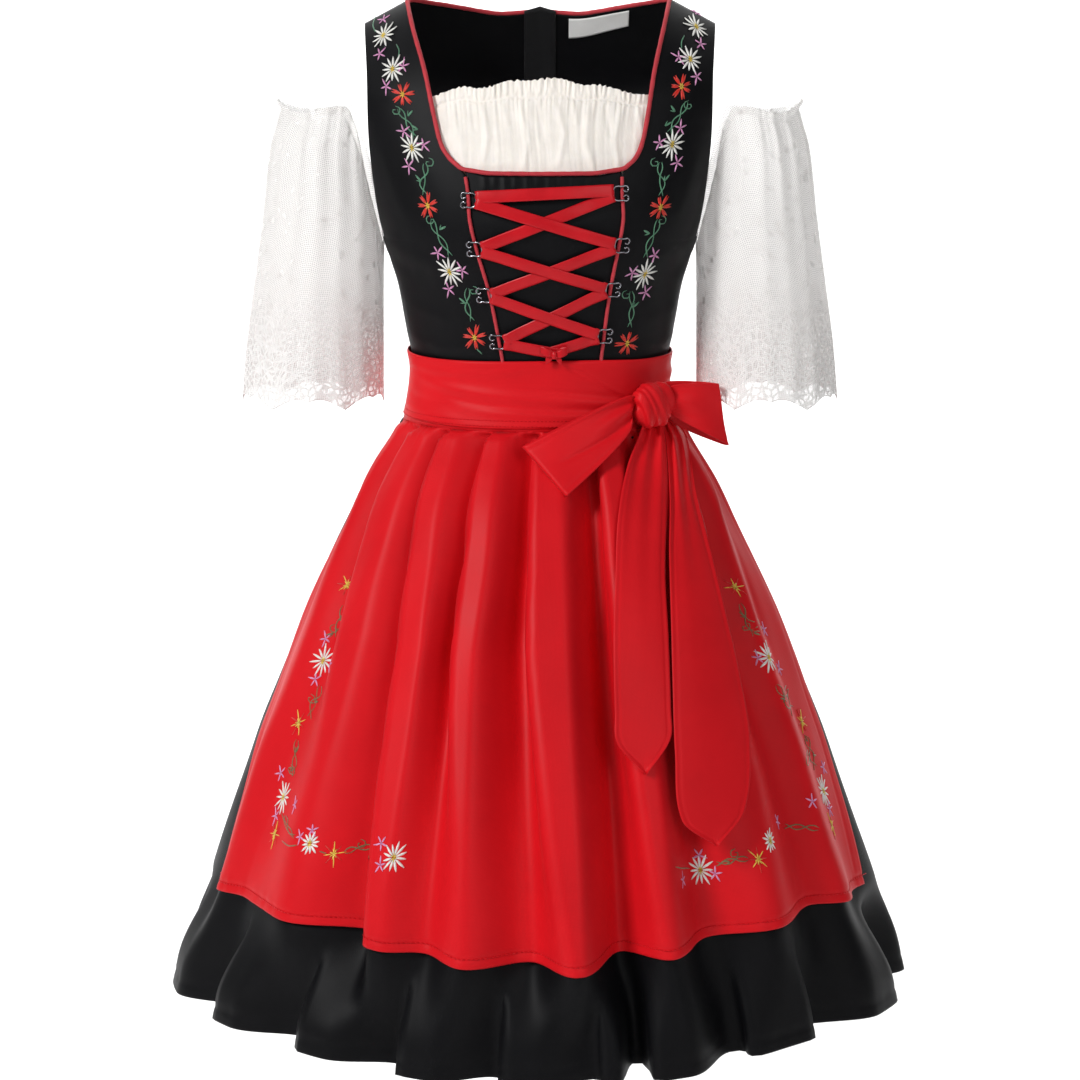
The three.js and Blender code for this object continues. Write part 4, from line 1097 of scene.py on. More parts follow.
def side_front(side):
    sign = -1 if side == "left" else 1
    levels = spread(
        (WAIST_SEAM + SEAM, -172, 60), (-172, -100, 34), (-100, -32, 26), (-32, STRAP_TOP - 0.004, 12)
    )
    last = len(levels) - 1

    def place(u, v):
        h = levels[np.rint(v * last).astype(int)]
        inner = angle_at(inner_edge(side, h), h)
        share = 1 - u if sign < 0 else u
        return bodice_front(lerp(inner, sign * outer_angle(h, "front"), share), h)

    return place, last


def centre_front(u, v):
    low = WAIST_SEAM + SEAM
    edge_left, edge_right = (follow(PRINCESS, "h", side, -172.0) for side in ("left", "right"))
    x_top = lerp(edge_left, edge_right, u)
    top = NECK_BOTTOM - 1.4 + 4 * smooth((np.abs(x_top - 3) - 50) / 24)
    h = lerp(low, top, v)
    left, right = follow(PRINCESS, "h", "left", h), follow(PRINCESS, "h", "right", h)
    return bodice_front(angle_at(lerp(left, right, u), h), h)


def slit_half(h):
    return np.where(h >= ZIP_END, ZIP_SLIT, SEAM)


def back_panel(side):
    sign = -1 if side == "left" else 1

    def place(u, v):
        share = 1 - u if sign < 0 else u
        widest = ARMHOLE["back"][0]
        reach = lerp(widest, ZIP_SLIT, share)
        neck = follow(BACK_NECK, "x", "h", reach) - 1.0
        top = np.where(reach >= NECK_SIDE, STRAP_TOP - 0.01, np.minimum(neck, STRAP_TOP - 0.01))
        level = 1 - (1 - v) ** 1.25
        h = lerp(WAIST_SEAM + SEAM, top, level)
        outer, inner = outer_angle(h, "back"), angle_at(slit_half(h), h)
        flat = angle_at(lerp(widest, slit_half(h), share), np.maximum(h, SHOULDER_START))
        angle = lerp(
            lerp(outer, inner, share), np.clip(flat, inner, outer), smooth((h + 240) / 120)
        )
        around = sign * (180 - angle)
        x = ring(around, h)[..., 0]
        return bodice(around, h, creases(x, h, BACK_CREASES))

    return place


class DIRNDL_OT_bodice(bpy.types.Operator):
    """Make the five panels of the bodice"""

    bl_idname = "dirndl.bodice"
    bl_label = "Bodice"

    def execute(self, context):
        sizes, colours = settings()
        black = finish_of(black_cotton_sateen, colours.black)
        wall = sizes.bodice_wall / MM
        for side in ("left", "right"):
            place, rows = side_front(side)
            piece = cloth(f"side_front_{side}", 52, rows, place, wall)
            finish_piece(piece, black, "black_cloth", f"bodice_front_{side}")
            piece = cloth(f"back_{side}", 60, 96, back_panel(side), wall)
            finish_piece(piece, black, "black_cloth", f"bodice_back_{side}")
        piece = cloth("centre_front", 72, 72, centre_front, wall)
        finish_piece(piece, black, "black_cloth", "bodice_front_centre")
        return {"FINISHED"}


# ------------------------------------------------------------------ piping
def neckline_path():
    heights = np.array(
        [-12.2, -26, -41, -55, -69, -83, -97, -111, -126, -137, -146, -153, -158, -162, -165.0]
    )
    left = on_front(follow(NECK_EDGE, "h", "left", heights), heights, 0.3)
    right = on_front(follow(NECK_EDGE, "h", "right", heights), heights, 0.3)
    x = np.array([-60, -50, -36, -20, -2, 16, 33, 50, 63.0])
    low = np.interp(np.abs(x - 2), [0, 50, 62], [NECK_BOTTOM, NECK_BOTTOM + 0.4, NECK_BOTTOM + 2.2])
    return through(np.concatenate([left, on_front(x, low, 0.3), right[::-1]]), 260)


def back_neck_path(sign):
    x = np.array([1.6, 20, 40, 58, 75, 91, 105, 115, 122, 126.0])
    h = np.minimum(follow(BACK_NECK, "x", "h", x), STRAP_TOP - 1.2)
    return through(on_back(sign * x, h, 0.3), 90)


def princess_path(side):
    h = np.linspace(SASH_TOP - 6, NECK_BOTTOM - 3.4, 24)
    return through(on_front(follow(PRINCESS, "h", side, h), h, PRINCESS_PIPING_RADIUS + 0.1), 120)


class DIRNDL_OT_piping(bpy.types.Operator):
    """Make the neckline and princess seam piping"""

    bl_idname = "dirndl.piping"
    bl_label = "Piping"

    def execute(self, context):
        colours = settings()[1]
        tape = finish_of(red_bias_tape, colours.piping)
        cords = [
            ("neck_cord_front", neckline_path(), PIPING_RADIUS, "neck_piping_front"),
            ("neck_binding_left", back_neck_path(-1), PIPING_RADIUS, "neck_piping_back_left"),
            ("neck_binding_right", back_neck_path(1), PIPING_RADIUS, "neck_piping_back_right"),
            ("princess_cord_left", princess_path("left"), PRINCESS_PIPING_RADIUS, "princess_piping_left"),
            ("princess_cord_right", princess_path("right"), PRINCESS_PIPING_RADIUS, "princess_piping_right"),
        ]
        for name, path, radius, node in cords:
            run = np.arange(len(path))
            radii = radius * (1 + 0.035 * np.sin(run * 1.1) + 0.025 * np.sin(run * 0.43 + 1))
            piece = link_piece(name, tube_mesh(name, path, radii, 12, guide=(0, -1, 0.3)))
            finish_piece(piece, tape, "red_piping", node)
        return {"FINISHED"}


# ------------------------------------------------------------------ chest insert
CHEST_TOP = table(
    "x h",
    [
        (-113, -100), (-101, -99), (-88, -95), (-72, -92), (-60, -93.5), (-48, -93), (-31, -90),
        (-8, -90.5), (18, -89), (40, -92), (54, -91.5), (68, -93), (89, -97), (103, -97.5), (114, -99),
    ],
)
CHEST_BOTTOM = -184.0
ELASTIC_BELOW = 9.0  # from the frill's edge down to the elastic


def gathers(s, seed, size):
    """Uneven upright gathers, about size mm apart."""
    k = 2 * np.pi / size
    bend = 1.1 * np.sin(s * k * 0.17 + seed) + 0.8 * np.sin(s * k * 0.31 + 2 * seed)
    swell = 0.72 + 0.28 * np.sin(s * k * 0.23 + 3 * seed)
    return swell * (0.7 * np.sin(s * k + bend) + 0.3 * np.sin(s * k * 1.83 + 1.7 * bend + seed))


INSERT_CREASES = [
    (1.3, 3.2, [(-100, -103), (-93, -128), (-97, -162)]),
    (1.1, 3.6, [(-84, -104), (-75, -140), (-70, -174)]), (-0.9, 3.0, [(-66, -103), (-61, -132)]),
    (1.3, 3.2, [(-54, -103), (-49, -135), (-57, -170)]), (1.0, 2.8, [(-36, -101), (-30, -127)]),
    (1.4, 3.6, [(-20, -101), (-11, -138), (-17, -172)]), (-0.9, 3.0, [(-3, -101), (3, -142)]),
    (1.2, 3.2, [(14, -100), (23, -132), (16, -168)]), (0.9, 2.6, [(31, -101), (35, -126)]),
    (1.4, 3.6, [(46, -102), (43, -140), (53, -174)]), (-0.8, 3.0, [(61, -103), (67, -138)]),
    (1.2, 3.2, [(77, -105), (70, -138), (75, -170)]), (1.0, 3.0, [(92, -107), (99, -140), (90, -166)]),
    (0.8, 4.0, [(-104, -150), (-60, -162), (-10, -156)]), (0.8, 4.0, [(4, -160), (50, -152), (98, -158)]),
]


def chest_place(u, v):
    x = lerp(-113.0, 114.0, u)
    top = follow(CHEST_TOP, "x", "h", x) + 0.7 * gathers(x, 2.3, 6.0)
    h = lerp(CHEST_BOTTOM, top, 1 - (1 - v) ** 1.5)
    below = top - h
    frill = smooth((ELASTIC_BELOW - below) / ELASTIC_BELOW)
    elastic = bell(below, ELASTIC_BELOW, 1.6)
    fade = lerp(0.35, 1.0, np.exp(-np.maximum(below - ELASTIC_BELOW, 0) / 45))
    near = np.exp(-((below - ELASTIC_BELOW) ** 2) / 160)
    drift = x + 2.5 * np.sin(h / 23 + x / 41)
    depth = 0.5 * gathers(drift, 0.6, 11.0) * fade + 0.6 * gathers(drift, 4.1, 5.2) * (0.12 + 0.88 * near)
    depth = depth + creases(x, h, INSERT_CREASES)
    edge = smooth((108 - np.abs(x)) / 14)  # flat where the side fronts cover it
    out = -4.2 + (depth * (1 - 0.75 * elastic) - 1.2 * elastic + 1.4 * frill * gathers(x, 1.9, 5.5)) * edge
    return on_front(x, h, out + 1.2 * frill * edge)


class DIRNDL_OT_chest_insert(bpy.types.Operator):
    """Make the gathered chest insert with its frilled elastic top"""

    bl_idname = "dirndl.chest_insert"
    bl_label = "Chest insert"

    def execute(self, context):
        colours = settings()[1]
        piece = cloth("chest_gathers", 260, 72, chest_place, 0.8)
        finish_piece(piece, finish_of(ivory_crepe, colours.ivory), "ivory_cloth", "chest_insert")
        return {"FINISHED"}


# ------------------------------------------------------------------ sleeves
# Soft upright folds of a sleeve: their angle round it from the outside, height and width in degrees.
SLEEVE_FOLDS = [
    (-158, 3.0, 9), (-137, 3.6, 8), (-116, 2.8, 9), (-97, 3.8, 8), (-76, 3.0, 8), (-58, 3.8, 7),
    (-39, 3.0, 8), (-21, 3.6, 7), (-3, 3.2, 8), (16, 3.8, 7), (34, 2.8, 8), (53, 3.8, 8),
    (74, 3.2, 8), (95, 3.8, 9), (117, 2.8, 8), (139, 3.4, 9), (161, 2.8, 8),
]
SLEEVE_POINTS = 6  # large points round the hem, with a small one between two


def torso_side(y, z):
    half = follow(FORM, "z", "half", z)
    depth = np.where(y < 0, follow(FORM, "z", "front", z), follow(FORM, "z", "back", z))
    square = follow(FORM, "z", "square", z)
    inside = np.maximum(0, 1 - (np.abs(y) / depth) ** square)
    return half * inside ** (1 / square)


def sleeve_surface(sign):
    """A sleeve's face: angle round it from the outside, positive towards the front."""

    @flat_call
    def surface(angle, z, out):
        half, depth = follow(SLEEVE, "z", "half", z), follow(SLEEVE, "z", "depth", z)
        below = -105 - z
        swing = angle + 7 * np.sin(below / 120 + 0.6)
        fold = np.zeros(len(angle))
        for middle, height, width in SLEEVE_FOLDS:
            away = (swing - middle + 180) % 360 - 180
            fold += height * bell(away, 0, width)
        depth_of_fold = 0.35 + 0.65 * np.exp(-((below - 40) ** 2) / 9000) + 0.25 * smooth((below - 200) / 90)
        reach = (fold - 2.2) * depth_of_fold + out
        turn = np.radians(angle)
        y = -(depth + reach) * np.sin(turn)
        x = sign * (follow(SLEEVE, "z", "middle", z) + (half + reach) * np.cos(turn))
        clear = torso_side(y, z) + 0.8 + np.maximum(out, 0)
        x = np.where(np.abs(x) < clear, sign * clear, x)
        return np.stack([x, y, z], axis=-1)

    return surface


def sleeve_place(sign):
    surface = sleeve_surface(sign)
    levels = spread((0, 0.05, 8), (0.05, 0.86, 62), (0.86, 1, 16))
    last = len(levels) - 1

    def place(u, v):
        turn = 360 * u  # counter-clockwise from above, from the outside or from the body
        angle = -turn if sign > 0 else turn - 180
        angle = (angle + 180) % 360 - 180
        around = np.abs(angle)
        drop = smooth((around - SLEEVE_SEAM_FROM) / (180 - SLEEVE_SEAM_FROM))
        corner = 7 * bell(angle, 4, 26) - 4.5 * bell(angle, 62, 22) + 2 * bell(angle, 100, 16)
        corner = corner - 4 * bell(angle, -66, 24) + 0.8 * gathers(angle * 0.9, 1.1, 11.0)
        top = lerp(-111.5, SLEEVE_SEAM, drop) + corner * (1 - drop)
        point = np.abs(((angle / 360 * SLEEVE_POINTS) % 1) - 0.5) * 2  # 1 at a large point
        small = np.abs(((angle / 360 * SLEEVE_POINTS * 2 + 0.5) % 1) - 0.5) * 2
        hem = SLEEVE_HEM + 2 - 13 * point**1.8 - 4.5 * (1 - small) ** 1.5 * (1 - point)
        share = levels[np.rint(v * last).astype(int)]
        z = lerp(hem, top, share)
        below = top - z
        frill = smooth((9 - below) / 9) * (1 - drop)
        elastic = bell(below, 9, 2.2) * (1 - drop)
        fine = gathers(angle * 0.9, 0.4, 7.5) * np.exp(-np.maximum(below - 9, 0) / 38)
        out = 1.1 * fine * (1 - elastic) - 1.4 * elastic + 1.8 * frill
        return surface(angle, z, out)

    return place, last


class DIRNDL_OT_sleeves(bpy.types.Operator):
    """Make the two sheer sleeves"""

    bl_idname = "dirndl.sleeves"
    bl_label = "Sleeves"

    def execute(self, context):
        sizes, colours = settings()
        net = finish_of(white_net, colours.net)
        for side, sign in (("left", -1), ("right", 1)):
            place, rows = sleeve_place(sign)
            piece = cloth(f"lace_{side}", 180, rows, place, sizes.net_wall / MM, around=True)
            finish_piece(piece, net, "lace", f"sleeve_{side}")
        return {"FINISHED"}


# ------------------------------------------------------------------ skirt
SEAM_CLOSING = 0.12  # degrees by which a back panel reaches on at the centre seam
SEAM_DEPTH = 4  # how far it turns in there


def skirt_place(start, end):
    levels = spread(
        (WAIST_SEAM - SEAM, -413, 10), (-413, -500, 28), (-500, -860, 48), (-860, -972, 22),
        (-972, SKIRT_HEM, 5),
    )[::-1]
    last = len(levels) - 1

    def place(u, v):
        level = levels[np.rint(v * last).astype(int)]
        share = np.clip((APRON_HEM - level) / (APRON_HEM - SKIRT_HEM), 0, 1)
        low, high = start(level), end(level)
        angle = lerp(low, high, u)
        h = level + share * hem_lift(angle, SKIRT_HEM_LIFT)
        pucker = 0.5 * gathers(angle * 6, 0.9, 26.0) * bell(level, SKIRT_HEM + 14, 7)
        turned = -0.7 * bell(level, SKIRT_HEM + 13, 2.5)
        # Below the zip the two back panels turn in along the centre seam and close it.
        turned_in = np.where(level < ZIP_END - 2, smooth((np.abs(angle) - 179.0) / 0.85), 0)
        return skirt(
            angle + np.sign(angle) * SEAM_CLOSING * turned_in, h, pucker + turned - SEAM_DEPTH * turned_in
        )

    return place, last


class DIRNDL_OT_skirt(bpy.types.Operator):
    """Make the three panels of the skirt"""

    bl_idname = "dirndl.skirt"
    bl_label = "Skirt"

    def execute(self, context):
        sizes, colours = settings()
        black = finish_of(black_cotton_sateen, colours.black)
        wall = sizes.skirt_wall / MM

        def middle(level):
            return 180 - angle_at(slit_half(level), level)

        panels = [
            ("skirt_cloth_front", 250, lambda z: -90 + 0 * z, lambda z: 90 + 0 * z, "skirt_front"),
            ("skirt_cloth_left", 130, lambda z: -middle(z), lambda z: -90 + 0 * z, "skirt_back_left"),
            ("skirt_cloth_right", 130, lambda z: 90 + 0 * z, middle, "skirt_back_right"),
        ]
        for name, columns, start, end, node in panels:
            place, rows = skirt_place(start, end)
            piece = cloth(name, columns, rows, place, wall)
            finish_piece(piece, black, "black_cloth", node)
        return {"FINISHED"}


# ------------------------------------------------------------------ apron
def apron_edge(side, z):
    """The angle of the apron's edge on the side that a negative or positive number gives."""
    left, right = (follow(APRON_EDGE, "z", name, z) for name in ("left", "right"))
    return np.where(np.asarray(side) < 0, left, right)


def apron_face(angle, z, out=0.0):
    """The apron's face: close to the skirt under the waistband and at its sides, a little clear between."""
    z = np.asarray(z, float)
    clearance = settings()[0].apron_clearance / MM
    side = smooth((apron_edge(angle, z) - np.abs(angle)) / 14)
    free = smooth((APRON_TOP - z) / 40) * side
    return apron(angle, z, lerp(2.4, clearance, free) + out)


APRON_HALF = 88.0  # degrees, half the apron half way down


def apron_place(u, v):
    levels = spread((APRON_TOP, -500, 30), (-500, -850, 62), (-850, APRON_HEM, 14))[::-1]
    level = levels[np.rint(v * (len(levels) - 1)).astype(int)]
    side = 2 * u - 1
    edge = apron_edge(side, level)
    # The cloth runs with the pleats, and its sides are drawn in to the apron's edges.
    ends = np.where(side < 0, -1, 1) * APRON_HALF
    drawn_in = np.sign(ends) * edge - along_pleats(ends, level)
    angle = along_pleats(APRON_HALF * side, level) + smooth((np.abs(side) - 0.5) / 0.5) * drawn_in
    share = (APRON_TOP - level) / (APRON_TOP - APRON_HEM)
    h = level + share**3 * hem_lift(angle, APRON_HEM_LIFT)
    pucker = 0.55 * gathers(angle * 5, 0.4, 20.0) * bell(level, APRON_HEM + 8, 8)
    turned = -0.8 * bell(level, APRON_HEM + 9, 2.6)
    gathered = 0.5 * gathers(angle * 2.2, 1.2, 8.0) * np.exp(-(APRON_TOP - level) / 9)
    hemmed = -0.6 * bell(np.abs(side), 0.966, 0.006)
    return apron_face(angle, h, pucker + turned + gathered + hemmed)


class DIRNDL_OT_apron(bpy.types.Operator):
    """Make the pleated apron"""

    bl_idname = "dirndl.apron"
    bl_label = "Apron"

    def execute(self, context):
        sizes, colours = settings()
        red = finish_of(red_apron_satin, colours.red)
        piece = cloth("apron_cloth", 330, 106, apron_place, sizes.skirt_wall / MM)
        finish_piece(piece, red, "red_cloth", "apron_panel")
        return {"FINISHED"}


# ------------------------------------------------------------------ sash and bow
ARC = 2.06  # mm of the waist for each degree
# Folds of the sash on mm round the waist and height. They draw together at the knot, 45 degrees right.
SASH_CREASES = [
    (1.9, 1.6, [(12, -346), (30, -356), (58, -374), (84, -388)], "fold"),
    (1.3, 4.5, [(-150, -366), (-90, -374), (-10, -382), (60, -388), (100, -391)]),
    (-0.9, 3.5, [(-110, -380), (-40, -390), (40, -395), (92, -394)]),
    (1.2, 4, [(-60, -394), (10, -399), (70, -399), (100, -396)]),
    (-0.8, 3, [(-20, -372), (40, -380), (90, -388)]),
    (0.8, 4, [(-170, -356), (-110, -360), (-40, -360), (4, -352)]),
    (0.9, 4, [(-180, -396), (-120, -400), (-60, -404)]),
    (-0.7, 4, [(-160, -386), (-110, -390), (-70, -392)]),
    (1.4, 4, [(96, -380), (130, -374), (190, -366), (250, -364)]),
    (1.3, 4, [(96, -392), (140, -390), (220, -384), (290, -382)]),
    (-1.0, 3.5, [(98, -386), (150, -381), (230, -374)]),
    (1.1, 4, [(96, -400), (150, -402), (230, -398), (300, -400)]),
    (-0.8, 3.5, [(100, -396), (150, -396), (210, -392)]),
    (0.9, 4.5, [(-360, -372), (-300, -366), (-240, -368), (-180, -362)]),
    (-0.8, 4, [(-350, -384), (-280, -380), (-210, -384)]),
    (1.0, 4, [(-365, -396), (-290, -394), (-200, -400)]),
    (0.9, 4.5, [(260, -354), (320, -358), (365, -356)]), (-0.7, 4, [(280, -392), (330, -390), (368, -394)]),
]


def sash_rise(angle, z):
    around = (np.asarray(angle, float) + 180) % 360 - 180
    fold = settings()[0].sash_fold / MM / 1.5
    return fold * creases(around * ARC, z, SASH_CREASES)


def sash_place(u, v):
    angle = 360 * u
    around = (angle + 180) % 360 - 180
    top = SASH_TOP + 0.9 * np.sin(np.radians(around * 3 + 40)) - 1.2 * bell(around, 45, 18)
    bottom = SASH_BOTTOM + 0.7 * np.sin(np.radians(around * 4)) + 1.0 * bell(around, 45, 16)
    z = lerp(bottom, top, v)
    rolled = -1.2 * (bell(v, 1, 0.02) + bell(v, 0, 0.02))
    return ring(angle, z, 4.2 + sash_rise(angle, z) + rolled)


def band_place(u, v):
    angle = lerp(-90.0, 90.0, u)
    z = lerp(WAISTBAND_BOTTOM - 0.4, WAISTBAND_TOP, v)
    return ring(angle, z, 2.3 + 0.2 * gathers(angle * 2, 1, 14.0))


KNOT_ANGLE = float(angle_at(np.array(KNOT["x"]), np.array(KNOT["z"])))
KNOT_SEAT = ring(KNOT_ANGLE, KNOT["z"], 4.2)
KNOT_OUT = unit((bodice(KNOT_ANGLE, KNOT["z"], 1.0) - bodice(KNOT_ANGLE, KNOT["z"])) * np.array([1, 1, 0]))
KNOT_RIGHT = np.array([-KNOT_OUT[1], KNOT_OUT[0], 0.0])
KNOT_MIDDLE = KNOT_SEAT + KNOT_OUT * (KNOT["depth"] / 2 + 0.4)


def face_order(face):
    """A number that goes up from ring to ring of a sphere, and round each ring."""
    middle = face.calc_center_median()
    return round(middle.z, 4) * 1e5 + round(math.atan2(middle.y, middle.x), 4)


def knot_mesh():
    """The knot: a rounded wrap of the sash with slanting folds, narrower where the loops leave it."""
    shell = bmesh.new()
    bmesh.ops.create_uvsphere(shell, u_segments=96, v_segments=64, radius=1.0)
    # The sphere's faces come in an order that differs between runs, so they are sorted by place.
    shell.faces.sort(key=face_order)
    layer = shell.loops.layers.uv.new("Cloth")
    for face in shell.faces:
        for loop in face.loops:
            loop[layer].uv = (loop.vert.co.x * 0.023, loop.vert.co.z * 0.021)
    mesh = bpy.data.meshes.new("knot_wrap")
    shell.to_mesh(mesh)
    shell.free()
    flat = np.zeros(len(mesh.vertices) * 3)
    mesh.vertices.foreach_get("co", flat)
    across, depth, up = unit(flat.reshape(-1, 3)).T
    box = (np.abs(across) ** 2.7 + np.abs(up) ** 2.7 + np.abs(depth) ** 2.4) ** (-1 / 2.6)
    slant = across * 0.94 + up * 0.34
    folds = (
        0.075 * np.sin(9.5 * slant + 0.6)
        + 0.045 * np.sin(17 * slant + 2.1 * up + 1.2)
        - 0.16 * bell(slant, -0.42, 0.07)
        - 0.12 * bell(slant, 0.34, 0.06)
        + 0.05 * bell(slant, -0.3, 0.1)
    )
    pinch = 1 - 0.14 * smooth((np.abs(across) - 0.62) / 0.38)
    size = box * (1 + folds * np.sqrt(np.clip(1 - up**2, 0, 1)))
    local = np.stack([
        across * size * KNOT["width"] / 2,
        depth * size * KNOT["depth"] / 2,
        up * size * KNOT["height"] / 2 * pinch,
    ], -1)
    # Local y runs out of the garment.
    points = KNOT_MIDDLE + local[:, :1] * KNOT_RIGHT + local[:, 1:2] * KNOT_OUT + local[:, 2:] * [0, 0, 1]
    mesh.vertices.foreach_set("co", (points * MM).astype(np.float32).ravel())
    return outward(mesh)


def tail_place(rows, bottom_rows, seed):
    """An end of the sash: gathered under the knot, with narrow hems and a pointed end."""
    top, tip = rows["z"][0], rows["z"][-1]
    levels = spread((top, top - 60, 26), (top - 60, tip + 34, bottom_rows), (tip + 34, tip, 14))[::-1]
    last = len(levels) - 1

    def place(u, v):
        z = levels[np.rint(v * last).astype(int)]
        left, right = follow(rows, "z", "left", z), follow(rows, "z", "right", z)
        out = follow(rows, "z", "out", z)
        below = top - z
        fold = 2.6 * np.exp(-(below / 75) ** 1.3) * np.sin(2 * np.pi * (2.4 * u + 0.1) + seed)
        fold += 1.4 * np.exp(-(below / 130) ** 2) * np.sin(2 * np.pi * 1.3 * u + 2 * seed)
        wide = 1.5 * np.sin(z / 47 + seed) * np.sin(np.pi * u) + 1.1 * np.sin(z / 83 + 3 * u + seed)
        edge = np.minimum(u, 1 - u) * (right - left)
        hem = -0.7 * bell(edge, 4.0, 0.9) * smooth(below / 60)
        return on_ring(lerp(left, right, u), z, out + fold + wide * smooth(below / 90) + hem)

    return place, last


LOOP_LEFT = {
    "start": (88.5, -393, 17), "end": (3.5, -446, 21), "start_reach": (2, 12), "end_reach": (-20.5, 21.5),
    "half": 5.5,
}
LOOP_RIGHT = {
    "start": (121, -70, -389), "end": (176, -52, -405), "start_reach": (-1, 0, 11), "end_reach": (-6, -4, 31),
    "half": 13,
}


def loop_share(u):
    return 1 - np.abs(2 * u - 1)


def loop_depth(u, half):
    return np.sign(u - 0.5) * half * (0.35 + 0.65 * np.sin(np.pi * loop_share(u) ** 0.7))


def loop_left_place(u, v):
    share = loop_share(u)
    x, z, out = (lerp(a, b, share) for a, b in zip(LOOP_LEFT["start"], LOOP_LEFT["end"]))
    reaches = zip(LOOP_LEFT["start_reach"], LOOP_LEFT["end_reach"])
    reach_x, reach_z = (lerp(a, b, np.sqrt(share)) * (2 * v - 1) for a, b in reaches)
    near = np.exp(-((share / 0.34) ** 2))
    fold = 2.4 * near * np.sin(2 * np.pi * (1.9 * v + 0.15)) + 1.0 * np.sin(np.pi * (v + 2.2 * share)) * share
    crease = -1.3 * bell(v - 0.22 - 0.3 * share, 0, 0.05) * smooth(share * 3) * smooth((0.9 - share) * 4)
    edge = np.minimum(v, 1 - v)
    hem = -0.6 * bell(edge, 0.09, 0.02) * smooth(share * 2)
    turned = np.where(u > 0.5, 1.0, -0.4)
    deep = loop_depth(u, LOOP_LEFT["half"])
    return on_ring(x + reach_x, z + reach_z, out + deep + turned * (fold + crease + hem))


def loop_right_place(u, v):
    share = loop_share(u)
    root = np.sqrt(share)
    middle = [lerp(a, b, share) for a, b in zip(LOOP_RIGHT["start"], LOOP_RIGHT["end"])]
    reach = [
        lerp(a, b, root) * (2 * v - 1) for a, b in zip(LOOP_RIGHT["start_reach"], LOOP_RIGHT["end_reach"])
    ]
    point = np.stack([m + r for m, r in zip(middle, reach)], -1)
    near = np.exp(-((share / 0.36) ** 2))
    fold = 2.2 * near * np.sin(2 * np.pi * (1.7 * v + 0.3)) + 1.2 * np.sin(np.pi * (1.6 * v + share)) * share
    edge = np.minimum(v, 1 - v)
    hem = -0.6 * bell(edge, 0.07, 0.018) * root
    deep = -loop_depth(u, LOOP_RIGHT["half"])
    side = np.where(u < 0.5, 1.0, -0.5)
    return point + (deep + side * (fold + hem))[:, None] * KNOT_OUT


class DIRNDL_OT_sash(bpy.types.Operator):
    """Make the waistband, the sash and its bow"""

    bl_idname = "dirndl.sash"
    bl_label = "Sash and bow"

    def execute(self, context):
        colours = settings()[1]
        red = finish_of(red_apron_satin, colours.red)
        band = cloth("waistband", 150, 10, band_place, 1.0)
        finish_piece(band, red, "red_cloth", "apron_waistband")
        sash = cloth("sash", 360, 36, sash_place, 1.0, around=True)
        finish_piece(sash, red, "red_cloth", "sash_wrap")
        knot = link_piece("knot", knot_mesh())
        finish_piece(knot, red, "red_cloth", "bow_knot")
        for name, rows, count, seed, flat, node in (
            ("sash_end_short", TAIL_SHORT, 44, 0.4, (0.057, 0.345, 0.0165), "bow_tail_short"),
            ("sash_end_long", TAIL_LONG, 56, 2.1, (0.087, 0.43, 0.0262), "bow_tail_long"),
        ):
            place, last = tail_place(rows, count, seed)
            piece = cloth(name, 40, last, place, 1.0)
            finish_piece(piece, red, "red_cloth", node)
        left = cloth("loop_left", 76, 36, loop_left_place, 1.0)
        finish_piece(left, red, "red_cloth", "bow_loop_left")
        right = cloth("loop_right", 76, 36, loop_right_place, 1.0)
        finish_piece(right, red, "red_cloth", "bow_loop_right")
        return {"FINISHED"}


# ------------------------------------------------------------------ hooks and lacing
WIRE_BAR = 7.3  # from a hook's middle to the bar that the ribbon turns round
HOOK_PATH = [  # half of the wire: its eye, then half of the tall loop, x towards the middle of the bodice
    (-2.6, 3.0), (-3.4, 2.0), (-5.0, 1.6), (-6.6, 2.6), (-7.2, 4.4), (-6.4, 6.2), (-4.6, 7.0), (-2.6, 6.6),
    (0.2, 6.5), (3.4, 6.7), (5.8, 5.9), (7.1, 3.8), (WIRE_BAR, 1.2),
]


def hook_axes(x, z):
    seat = on_front(np.array(float(x)), np.array(float(z)), HOOK_SEAT + 0.7)
    out = unit(on_front(np.array(float(x)), np.array(float(z)), HOOK_SEAT + 2.0) - seat)
    up = unit(np.array([0, 0, 1.0]) - out * out[2])
    return seat, np.cross(up, out), up, out


def hook_mesh(name, x, z, inwards, radius):
    seat, across, up, out = hook_axes(x, z)
    half = np.array(HOOK_PATH)
    whole = np.concatenate([half, (half * [1, -1])[::-1]])
    flat = through(whole, 72)
    t = np.linspace(0, 1, len(flat))
    lift = 0.5 * bell(t, 0.02, 0.05) + 0.5 * bell(t, 0.98, 0.05)
    path = seat + across * (flat[:, :1] * inwards) + up * flat[:, 1:] + out * lift[:, None]
    return tube_mesh(name, path, radius, 8, guide=out)


STRETCHES = [  # node, from and to (hook number and side, or a place), layer, shift at each end
    ("lace_top", (0, 0), (0, 1), 2, 2.6, 2.6),
    ("lace_cross_1_over", (0, 0), (1, 1), 1, -2.4, 1.6),
    ("lace_cross_1_under", (1, 0), (0, 1), 0, 1.6, -2.4),
    ("lace_cross_2_over", (1, 0), (2, 1), 1, -2.2, 1.6),
    ("lace_cross_2_under", (2, 0), (1, 1), 0, 1.6, -2.2),
    ("lace_cross_3_over", (2, 0), (3, 1), 1, -2.2, 1.8),
    ("lace_cross_3_under", (3, 0), (2, 1), 0, 1.8, -2.2),
    ("lace_end_left", (3, 0), (17, -338.5), 1, -1.8, 0),
    ("lace_end_right", (8, -338), (3, 1), 0, 0, -1.8),
]


